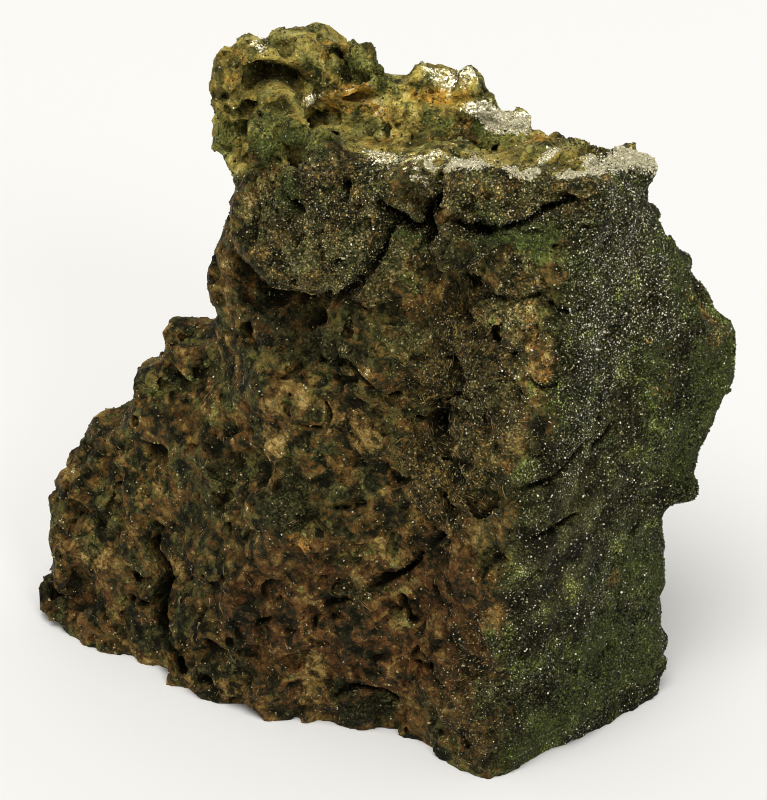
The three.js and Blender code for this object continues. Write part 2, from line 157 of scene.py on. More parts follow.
# ---- Hollows and lumps, each an ellipsoid: its centre and three half-widths ----
PITS = {
    "lobe_pit": ((-10, -9.4, 77.6), (1.2, 2.4, 1.1)),
    "knob_pit": ((-11.8, -3.4, 84.6), (0.8, 2.2, 1.4)),
    "knob_hollow": ((-12, 1.6, 86.4), (1.6, 2, 1.1)), "horn_fold": ((-2.6, 9.2, 87.8), (1.6, 1.6, 0.9)),
    "horn_under": ((-2, 8.6, 85), (2.4, 1.8, 0.9)), "basin_a": ((7, 3, 83.6), (2.2, 1.8, 0.9)),
    "basin_b": ((2, 1, 82.4), (1.6, 1.6, 1)), "basin_c": ((13.2, 1, 84.2), (2.4, 1.6, 1)),
    "basin_d": ((19, -4, 84.4), (3, 1.6, 0.8)), "back_knob_gap": ((16.7, 9, 89.4), (2.6, 3.4, 2.6)),
    "slope_end": ((24.4, 6.4, 86.6), (2.8, 4, 2.6)), "basin_e": ((12, 4.6, 86), (2.8, 1.2, 1)),
    "lobe_pore_a": ((0.9, -13.6, 80.4), (0.8, 1.8, 0.8)),
    "lobe_pore_b": ((-1.5, -13.6, 78.7), (0.7, 1.6, 0.7)),
    "lobe_pore_c": ((0.1, -14.4, 77.2), (0.8, 1.6, 0.9)),
    "lobe_pore_d": ((-4.4, -13.4, 79.4), (0.6, 1.4, 0.5)),
    "lobe_pore_e": ((-4.8, -13.2, 71.6), (0.7, 1.4, 0.6)),
    "under_lobe_a": ((-14.6, -3.6, 62.4), (4.2, 3, 2.6)),
    "under_lobe_b": ((-9, -8.6, 60.8), (4.2, 2.6, 2.4)),
    "under_lobe_c": ((-17.8, -0.6, 64.6), (2.2, 2.6, 2.6)),
    "shoulder_hollow": ((-30.8, 3.4, 32.8), (2.2, 2.2, 2)),
    "shoulder_step": ((-26.2, 12.5, 54.2), (8.5, 13, 6)), "slope_a": ((-41.2, 16, 38.8), (8, 16, 6.3)),
    "slope_back": ((-40, 25, 33.8), (8, 9, 6.3)), "slope_b": ((-34.2, 12, 46.7), (4.4, 11, 3.9)),
    "foot_under": ((-22, -15.4, 0), (6, 4.6, 2.6)),
    "foot_under_left": ((-29.5, -11.6, 0), (5, 4.6, 2.6)),
    "shoulder_edge": ((-33, 9, 48.6), (2.2, 6, 2.6)), "lobe_side": ((-22.4, 5, 72.8), (3.4, 10, 5)),
    "tower_left": ((-24, 8, 82), (2.9, 9, 4.2)), "tower_top": ((-8.5, 12, 97), (7.5, 8, 4)),
    "tower_notch": ((-4.4, 14, 93.7), (2.4, 6, 2.2)), "rim_flat": ((30.5, -3, 86.6), (9.5, 6, 3.9)),
    "left_side": ((-50.6, 12, 13.6), (3.5, 8, 8.4)), "knob_top": ((8, 9.4, 92), (5, 4, 1.7)),
    "cave_room": ((-13.2, 6.4, 88.6), (3.2, 2.2, 1.5)),
    "hollow_low": ((-11.2, 2.2, 86.9), (1.4, 2.4, 0.9)), "horn_gap": ((2.8, 11, 88.8), (1.9, 6, 1.6)),
    "toe_under": ((44.6, -9, 28.3), (6, 7, 4.1)), "flank_low": ((44.4, -5, 19.5), (3.8, 9, 5)),
    "nodule_slot": ((7.3, -14.4, 75.6), (1, 4, 3.4)),
    "nodule_foot": ((10.8, -23.6, 73.2), (3.4, 3, 0.9)),
    "nodule_gap": ((6.8, -19, 77.6), (0.9, 5, 2.8)),
    "crack_start": ((8.4, -19.5, 81.3), (2.8, 4.5, 0.7)),
    "pit_a": ((-18.2, -14.2, 19.4), (1.2, 1.8, 1.6)), "pit_b": ((-20.6, -12.4, 10.6), (1.4, 1.8, 1.5)),
    "pit_c": ((-15.8, -15.2, 9.6), (1, 1.8, 1.6)), "pit_d": ((-3.4, -18.4, 28.2), (1, 1.6, 1.2)),
    "pit_e": ((11, -24.6, 39.6), (1.2, 1.6, 1)), "pit_f": ((-16.6, -3.6, 55.6), (1.8, 2.2, 1.6)),
    "edge_step": ((50.7, -1, 62.6), (8.2, 13, 7.2)), "back_pit_a": ((-12, 29, 22), (2.4, 2.4, 1.6)),
    "back_pit_b": ((8, 27, 44), (2, 2.4, 3)), "back_pit_c": ((26, 21, 30), (2, 2.4, 2.4)),
}
LUMPS = {
    "nodule": ((10.7, -22.3, 77.3), (3.1, 3.3, 3.2)), "horn": ((-2.3, 10.6, 89.8), (1.9, 2.2, 2.7)),
    "horn_low": ((0, 11.2, 86.6), (1.5, 1.8, 1.5)), "knob_right": ((12.2, 9, 87.6), (2.2, 2.2, 1.9)),
    "slope_right": ((17.6, 6.2, 84), (4.5, 2.6, 1.9)), "rim_corner": ((35.5, -8.4, 82), (1.7, 2.2, 2)),
    "toe_up": ((-45.6, 12.8, 10), (2.6, 4.5, 5.5)),
    "right_bulge": ((47.2, -3.5, 48.6), (1.9, 3.5, 2.4)),
    "foot_corner": ((39.5, -6.5, 4.2), (2, 3.5, 3.2)),
    "foot_pebble": ((-1.4, -15.9, 3.8), (4.6, 2.6, 3.2)), "toe": ((-48.4, 13.4, 3), (2.4, 3.6, 1.4)),
    "foot_left": ((-44.6, 8.2, 1.6), (3.4, 2.2, 1.6)), "slope_low": ((-43.6, 12.5, 23), (1.8, 4, 1.9)),
    "rim_end": ((34.5, -8, 83.6), (2.2, 2.6, 1.2)), "corner_toe": ((42.4, -7.5, 34.6), (2.3, 2.6, 3.3)),
}
# Small lumps that sit on the finished front: place (x, z) and half-widths.
STUDS = {
    "disc": (22.1, 60.9, (1.25, 0.8, 1.3)), "round_lump": (-8.8, 49, (2.6, 0.8, 2.4)),
    "tan_lump": (-12.6, 42, (2.6, 1.2, 2)), "streak_a": (19.4, 67.6, (0.7, 0.6, 1.5)),
    "streak_a_end": (20.2, 65.6, (0.55, 0.6, 1.4)), "streak_b": (22, 64.2, (0.5, 0.6, 1.2)),
    "streak_b_end": (22.7, 62.8, (0.4, 0.5, 1)), "knot": (7.8, 31.6, (2.2, 1.4, 1.9)),
    "pale_chip": (5.8, 34.6, (1.2, 0.6, 1.1)),
}


def rng(offset):
    """A generator of random numbers that starts the same in each run."""
    return np.random.default_rng(SEED * 1000 + offset)


# ---- The field ----
def along_axis(line, axis):
    """The line of values shaped to run along one of three axes, to broadcast with others."""
    side = [1, 1, 1]
    side[axis] = len(line)
    return line.reshape(side)


class Field:
    """Values on a regular grid of points: negative inside the rock, positive outside, in mm."""

    def __init__(self, low, high):
        self.low = np.array(low, float)
        self.shape = tuple(np.ceil((np.array(high) - self.low) / CELL).astype(int) + 1)
        self.value = None

    def axes(self, window=None):
        """The grid's coordinates along each axis, shaped to broadcast together."""
        window = window or tuple(slice(0, n) for n in self.shape)
        lines = []
        for axis, part in enumerate(window):
            line = self.low[axis] + np.arange(part.start, part.stop) * CELL
            lines.append(along_axis(line, axis).astype(np.float32))
        return lines

    def places(self, window):
        """The coordinates of each grid point in the window."""
        return np.stack(np.broadcast_arrays(*self.axes(window)), axis=-1)

    def window(self, low, high):
        """The part of the grid that holds the box from low to high."""
        first = np.floor((np.array(low) - self.low) / CELL).astype(int)
        last = np.ceil((np.array(high) - self.low) / CELL).astype(int) + 1
        first = np.clip(first, 0, np.array(self.shape) - 1)
        last = np.clip(last, first + 1, self.shape)
        return tuple(slice(a, b) for a, b in zip(first, last))

    def sample(self, points, values=None):
        """The field, or other values on its grid, read between its points."""
        values = self.value if values is None else values
        place = (points - self.low) / CELL
        base = np.clip(np.floor(place).astype(int), 0, np.array(self.shape) - 2)
        part = np.clip(place - base, 0, 1)
        total = 0
        for corner in range(8):
            step = np.array([corner & 1, (corner >> 1) & 1, corner >> 2])
            weight = np.where(step, part, 1 - part).prod(axis=1)
            i, j, k = (base + step).T
            total = total + weight * values[i, j, k]
        return total

    def slope(self, points, values=None, step=0.6):
        """The unit direction in which the field grows, which is straight out of the rock."""
        out = np.empty_like(points)
        for axis in range(3):
            shift = np.zeros(3)
            shift[axis] = step
            out[:, axis] = self.sample(points + shift, values) - self.sample(points - shift, values)
        return unit(out)

    def surface(self):
        """Corner points and triangles of the surface where the field is zero."""
        grid = vdb.FloatGrid(BAND)
        grid.copyFromArray(np.ascontiguousarray(self.value, dtype=np.float32))
        points, quads = grid.convertToQuads(0.0)
        triangles = np.concatenate([quads[:, [0, 1, 2]], quads[:, [0, 2, 3]]])
        return points * CELL + self.low, triangles.astype(np.int64)


def unit(vectors):
    """Each row scaled to length 1."""
    return vectors / (np.linalg.norm(vectors, axis=1, keepdims=True) + 1e-9)


def blurred(values, width):
    """The values smoothed by a bell curve of this width in mm."""
    reach = int(math.ceil(2.5 * width / CELL))
    weights = np.exp(-0.5 * (np.arange(-reach, reach + 1) * CELL / width) ** 2)
    weights = (weights / weights.sum()).astype(np.float32)
    for axis in range(3):
        pad = [(0, 0)] * 3
        pad[axis] = (reach, reach)
        padded = np.pad(values, pad, mode="edge")
        total = np.zeros_like(values)
        for i, weight in enumerate(weights):
            part = [slice(None)] * 3
            part[axis] = slice(i, i + values.shape[axis])
            total += weight * padded[tuple(part)]
        values = total
    return values


def waves(shape, period, offset):
    """Smooth random values of spread about 1 that change over the period, in mm, on a grid."""
    counts = [int(n * CELL / period) + 5 for n in shape]
    values = rng(offset).uniform(-1, 1, counts).astype(np.float32)
    for axis, n in enumerate(shape):
        place = np.arange(n) * CELL / period
        base = place.astype(int)
        t = (place - base).astype(np.float32)
        # The four weights of a cubic spline.
        parts = [(1 - t) ** 3, 3 * t**3 - 6 * t**2 + 4, 3 * (t + t**2 - t**3) + 1, t**3]
        total = 0
        for k, weight in enumerate(parts):
            total = total + np.take(values, base + k, axis=axis) * along_axis(weight / 6, axis)
        values = total
    return values * 5.0


def ramp(value, low, high):
    """0 below low, 1 above high and smooth between."""
    t = np.clip((value - low) / (high - low), 0, 1)
    return t * t * (3 - 2 * t)


def smooth_min(a, b, width):
    near = np.maximum(width - np.abs(a - b), 0)
    return np.minimum(a, b) - near * near / (4 * width)


def smooth_max(a, b, width):
    return -smooth_min(-a, -b, width)


def with_skirt(points, triangles):
    """The solid with its flat underside carried straight down, so that smoothing leaves the foot."""
    under = (points[triangles][:, :, 2] < ON_FLOOR).all(axis=1)
    lid = triangles[under]
    edges = np.concatenate([lid[:, [0, 1]], lid[:, [1, 2]], lid[:, [2, 0]]])
    known = {tuple(edge) for edge in edges}
    rim = np.array([edge for edge in edges if (edge[1], edge[0]) not in known])
    n = len(points)
    low = points.copy()
    low[:, 2] -= SKIRT
    walls = np.concatenate([
        np.stack([rim[:, 0], rim[:, 1], rim[:, 1] + n], axis=1),
        np.stack([rim[:, 0], rim[:, 1] + n, rim[:, 0] + n], axis=1)])
    faces = np.concatenate([triangles[~under], lid + n, walls])
    return np.concatenate([points, low]), faces


def mesh_numbers(mesh):
    """Corner points in mm and triangles of a mesh."""
    mesh.calc_loop_triangles()
    points = np.empty(len(mesh.vertices) * 3, np.float32)
    mesh.vertices.foreach_get("co", points)
    triangles = np.empty(len(mesh.loop_triangles) * 3, np.int32)
    mesh.loop_triangles.foreach_get("vertices", triangles)
    return points.reshape(-1, 3) / MM, triangles.reshape(-1, 3)


def solid_of(node):
    """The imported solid, whose mesh holds a corner once for each face; equal corners become one."""
    points, triangles = mesh_numbers(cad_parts[node].data)
    points, same = np.unique(np.round(points, 4), axis=0, return_inverse=True)
    return points, same.reshape(-1)[triangles]


def distance_field(points, triangles):
    """How far each grid point is from the solid's surface."""
    field = Field(points.min(axis=0) - MARGIN, points.max(axis=0) + MARGIN)
    corners, faces = with_skirt(points, triangles)
    corners = ((corners - field.low) / CELL).astype(np.float32)
    grid = vdb.FloatGrid.createLevelSetFromPolygons(
        corners, triangles=faces.astype(np.uint32), transform=vdb.createLinearTransform(1.0),
        halfWidth=BAND / CELL)
    values = np.empty(field.shape, np.float32)
    grid.copyToArray(values, ijk=(0, 0, 0))
    field.value = values * CELL
    return field


# ---- Features of the rock, cut into the field or added to it in small windows ----
def front_point(field, x, z):
    """The first point of the rock met on a line from the front at this place."""
    y = np.arange(field.low[1], field.low[1] + field.shape[1] * CELL, 0.1)
    values = field.sample(np.stack([np.full_like(y, x), y, np.full_like(y, z)], axis=1))
    return np.array([x, y[np.argmax(values < 0)], z])


def carve_crack(field, warp, width, depth, into, path):
    """Cuts a groove that narrows with depth, along a path found on the front of the rock."""
    into = np.array(into) / np.linalg.norm(into)
    path = np.array(path)
    along = np.concatenate([[0], np.cumsum(np.linalg.norm(np.diff(path, axis=0), axis=1))])
    stops = np.linspace(0, along[-1], int(along[-1] / PATH_STEP) + 2)
    spots = [front_point(field, np.interp(s, along, path[:, 0]), np.interp(s, along, path[:, 1]))
             for s in stops]
    for start, end in zip(spots, spots[1:]):
        ends = np.array([start, end, start + into * depth, end + into * depth, start - into * PROUD_CUT])
        window = field.window(ends.min(axis=0) - width - 1, ends.max(axis=0) + width + 1)
        p = field.places(window) + warp[window] * 0.3
        part = end - start
        t = np.clip(((p - start) @ part) / (part @ part), 0, 1)
        rest = p - start - t[..., None] * part
        deep = np.clip(rest @ into, -PROUD_CUT, depth)
        rest = rest - deep[..., None] * into
        open_half = 0.5 * width * (1 - np.clip(deep, 0, depth) / depth * 0.8)
        groove = np.linalg.norm(rest, axis=-1) - open_half
        field.value[window] = smooth_max(field.value[window], -groove, 0.3).astype(np.float32)


def ellipsoid(p, centre, radii):
    """About how far each place is outside an ellipsoid."""
    radii = np.array(radii)
    return (np.linalg.norm((p - np.array(centre)) / radii, axis=-1) - 1) * radii.min()


def shape_ellipsoid(field, warp, centre, radii, sign, blend, wobble=0.4):
    """Adds (sign 1) or cuts out (sign -1) an ellipsoid made crooked by the warp."""
    centre, radii = np.array(centre, float), np.array(radii, float)
    window = field.window(centre - radii - 1.5, centre + radii + 1.5)
    body = ellipsoid(field.places(window) + warp[window] * wobble, centre, radii)
    here = field.value[window]
    merged = smooth_min(here, body, blend) if sign > 0 else smooth_max(here, -body, blend)
    field.value[window] = merged.astype(np.float32)


def shape_chip(field, centre, normal, size, proud, sign, random):
    """Adds (sign 1) or breaks out (sign -1) an angular chip whose top face lies near the surface."""
    blend = 0.12
    top = normal + random.normal(0, 0.28, 3)
    top /= np.linalg.norm(top)
    faces = [top]
    offsets = [proud]
    turn = random.uniform(0, 2 * math.pi)
    side = np.cross(top, [0.3, 0.5, 0.8])
    side /= np.linalg.norm(side)
    other = np.cross(top, side)
    count = random.integers(4, 7)
    for n in range(count):
        angle = turn + (n + random.uniform(-0.3, 0.3)) * 2 * math.pi / count
        face = side * math.cos(angle) + other * math.sin(angle) + top * random.uniform(0.0, 0.7)
        faces.append(face / np.linalg.norm(face))
        offsets.append(size * random.uniform(0.55, 1.1))
    window = field.window(centre - size * 1.3 - 0.8, centre + size * 1.3 + 0.8)
    x, y, z = (line - own for line, own in zip(field.axes(window), centre))
    body = None
    for face, offset in zip(faces, offsets):
        way = -1 if sign < 0 and face is top else 1
        plane = (x * face[0] + y * face[1] + z * face[2]) * way - offset
        body = plane if body is None else np.maximum(body, plane)
    body = np.maximum(body, -sign * (x * top[0] + y * top[1] + z * top[2]) - size)
    here = field.value[window]
    field.value[window] = smooth_min(here, body, blend) if sign > 0 else smooth_max(here, -body, blend)


# ---- Zones: how strongly each kind of surface shows at a point, from 0 to 1 ----
def edge_x(z):
    """Where the sharp front edge stands at this height."""
    heights = [0, 11, 23, 38, 47, 58, 71, 84, 95]
    places = [14.0, 15.6, 17.3, 19.6, 22.4, 23.8, 25.4, 27.2, 28.5]
    return np.interp(z, heights, places)


def before_back(x, y):
    """1 on the flat side, falling to 0 where its flank turns to the back."""
    return 1 - ramp(y - FLANK_LEAN * (x - FLANK_START), 2.0, 9.0)


def right_zone(p, before=0.8, after=0.8):
    """The flat granular side, right of the front edge and round as far as the flank."""
    front = ramp(p[:, 0] - edge_x(p[:, 2]), -before, after)
    return front * before_back(p[:, 0], p[:, 1]) * (1 - ramp(p[:, 2], 85.2, 86.2))


def tower_zone(p):
    """The knobbly tower at the left of the top."""
    low_part = ramp(p[:, 2], 72.0, 78.0)
    return (1 - ramp(p[:, 0], 3.0, 7.0)) * low_part * ramp(p[:, 1] + 0.3 * p[:, 0], -8.0, -4.0)


def brow_y(x):
    """How far forward the crusted top reaches before the dark front begins."""
    places = [-8, -3, -0.4, 1.6, 3.5, 6.2, 8.7, 11.3, 14.5, 20.2, 24.1, 26.8, 29.7, 32.5, 35.6, 37.5]
    fronts = [-6, 1, -3, -8, -12, -13.5, -16, -18.2, -19.6, -20.8, -20.6, -18.8, -14.8, -12.4, -9.4, -7]
    return np.interp(x, places, fronts)


def top_zone(p, n):
    """The crusted top: what faces up above and behind the brow."""
    behind = ramp(p[:, 1] - brow_y(p[:, 0]), -0.4, 0.5)
    return behind * ramp(p[:, 2] + 6 * n[:, 2], 84.0, 88.0) * ramp(n[:, 2], 0.2, 0.55)


def surface_zones(base, normals):
    """The zones in which chips, knobs and pores are spread."""
    right, tower, top = right_zone(base), tower_zone(base), top_zone(base, normals)
    basin = top * (1 - tower)
    return {"right": right, "tower": tower, "top": top, "basin": basin, "crusted": tower + basin,
            "holed": tower + 0.5 * basin, "broken": (1 - right) * (1 - tower) * (1 - top)}


# ---- The skin ----
def ledges(values):
    """The values turned into flat steps with short steep rises between them."""
    scaled = values / LEDGE_STEP
    whole = np.floor(scaled)
    part = np.clip((scaled - whole - 0.5) * LEDGE_SHARPNESS + 0.5, 0, 1)
    return (whole + part) * LEDGE_STEP


def roughen(field):
    """Broken surface: ledges and rolling roughness, weaker on the flat side, crumbly on the tower."""
    x, y, z = field.axes()
    flat = ramp(x - edge_x(z).astype(np.float32), -0.8, 0.8) * before_back(x, y)
    rough = (1 - 0.72 * flat).astype(np.float32)
    crumbly = ramp(z, 74.0, 82.0) * (1 - ramp(x - 0.5 * y, 2.0, 6.0))
    wide, coarse, middle, fine = (waves(field.shape, period, offset) for period, offset in WAVES)
    flakes = ledges(0.55 * wide + 0.34 * coarse + 0.1 * middle)
    field.value += rough * (0.85 * flakes + 0.16 * coarse)
    field.value += (0.45 + 0.55 * rough) * (0.19 * middle + 0.15 * fine)
    field.value += (0.22 * crumbly).astype(np.float32) * (middle + fine)


def drawn_from(zone, count, random):
    """The numbers of that many different points, drawn by how strongly each lies in the zone."""
    return random.choice(len(zone), count, p=zone / zone.sum(), replace=False)


def add_chips(field, base, normals, zones, random):
    broken, right, top, tower = (zones[name] for name in ("broken", "right", "top", "tower"))
    for count, size, proud, on_right in CHIPS:
        weight = broken + on_right * right + 0.35 * top * (1 - tower)
        for n in drawn_from(weight, count, random):
            own = size * random.uniform(0.7, 1.3)
            lift = proud * random.uniform(0.2, 1.2) * (0.5 + 0.5 * broken[n])
            sign = 1 if random.random() < 0.5 else -1
            shape_chip(field, base[n], normals[n], own, lift, sign, random)


def add_knobs(field, warp, base, normals, zones, random):
    for count, size, zone, sign in KNOBS:
        for n in drawn_from(zones[zone], count, random):
            own = size * random.uniform(0.6, 1.25)
            radii = own * random.uniform(0.75, 1.2, 3)
            depth = random.uniform(0.2, 0.75) if sign > 0 else random.uniform(-0.5, 0.1)
            centre = base[n] - normals[n] * own * depth
            shape_ellipsoid(field, warp, centre, radii, sign, 0.2, 0.6 if sign > 0 else 1.1)


def add_pores(field, warp, base, normals, zones, random):
    for count, size, zone in PORES:
        for n in drawn_from(zones[zone], count, random):
            radii = size * np.exp(random.normal(0, 0.33, 3))
            shape_ellipsoid(field, warp, base[n] - normals[n] * 0.2, radii, -1, 0.15, 0.9)


def lump_field(field, centre, radii):
    """Distance to one lump near it, and far outside elsewhere."""
    values = np.full(field.shape, BAND, np.float32)
    centre, radii = np.array(centre), np.array(radii)
    window = field.window(centre - radii - 2, centre + radii + 2)
    values[window] = ellipsoid(field.places(window), centre, radii)
    return values


def build_skin():
    """The whole skin as a field, and the warp that makes its forms crooked."""
    field = distance_field(*solid_of("chromite_rock"))
    field.value = blurred(field.value, FACET_BLUR)
    hull = field.value.copy()
    warp = np.stack([waves(field.shape, WARP_PERIOD, offset) for offset in (1, 2, 3)], axis=-1)
    for centre, radii in LUMPS.values():
        shape_ellipsoid(field, warp, centre, radii, 1, 1.8)
    roughen(field)

    base, _ = field.surface()
    base = base[base[:, 2] > 0.5]
    normals = field.slope(base, step=1.2)
    zones = surface_zones(base, normals)
    random = rng(20)
    add_chips(field, base, normals, zones, random)
    add_knobs(field, warp, base, normals, zones, random)
    # Nothing added may stand out like a splinter where the rock is thin.
    lumps = np.minimum.reduce([hull] + [lump_field(field, *lump) for lump in LUMPS.values()])
    field.value = np.maximum(field.value, lumps - MOST_PROUD)

    # Small pores all over, then the pits, cracks and studs that have their places.
    add_pores(field, warp, base, normals, zones, random)
    for centre, radii in PITS.values():
        shape_ellipsoid(field, warp, centre, radii, -1, 0.3, 0.5)
    for width, depth, into, path in CRACKS.values():
        carve_crack(field, warp, width, depth, into, path)
    for x, z, radii in STUDS.values():
        centre = front_point(field, x, z) + np.array([0, radii[1] * 0.35, 0])
        shape_ellipsoid(field, warp, centre, radii, 1, 0.1, 0.1)

    # The flat underside, with no thin edge lying on the floor round it.
    above = int(round((FOOT_RISE - field.low[2]) / CELL))
    foot = field.value[:, :, :above]
    field.value[:, :, :above] = np.maximum(foot, field.value[:, :, above:above + 1])
    field.value = np.maximum(field.value, -field.axes()[2])
    return field, warp


def largest_body(points, triangles):
    """Only the triangles joined to the largest body, with the points they use."""
    parent = np.arange(len(points))
    ends = np.concatenate([triangles[:, [0, 1]], triangles[:, [1, 2]]])
    while True:
        low = np.minimum(parent[ends[:, 0]], parent[ends[:, 1]])
        before = parent.copy()
        np.minimum.at(parent, ends[:, 0], low)
        np.minimum.at(parent, ends[:, 1], low)
        parent = parent[parent]
        if (parent == before).all():
            break
    names, counts = np.unique(parent[triangles[:, 0]], return_counts=True)
    kept = triangles[parent[triangles[:, 0]] == names[counts.argmax()]]
    used, same = np.unique(kept, return_inverse=True)
    return points[used], same.reshape(-1, 3)


def linked(name, data):
    """A new object in the scene that shows this mesh, lamp or camera."""
    body = bpy.data.objects.new(name, data)
    bpy.context.scene.collection.objects.link(body)
    return body


def mesh_object(name, points, triangles):
    mesh = bpy.data.meshes.new(name)
    mesh.vertices.add(len(points))
    mesh.vertices.foreach_set("co", (points * MM).astype(np.float32).ravel())
    mesh.loops.add(triangles.size)
    mesh.loops.foreach_set("vertex_index", triangles.astype(np.int32).ravel())
    mesh.polygons.add(len(triangles))
    mesh.polygons.foreach_set("loop_start", np.arange(0, triangles.size, 3, dtype=np.int32))
    mesh.update(calc_edges=True)
    mesh.validate()
    mesh.polygons.foreach_set("use_smooth", np.zeros(len(mesh.polygons), bool))
    return linked(name, mesh)


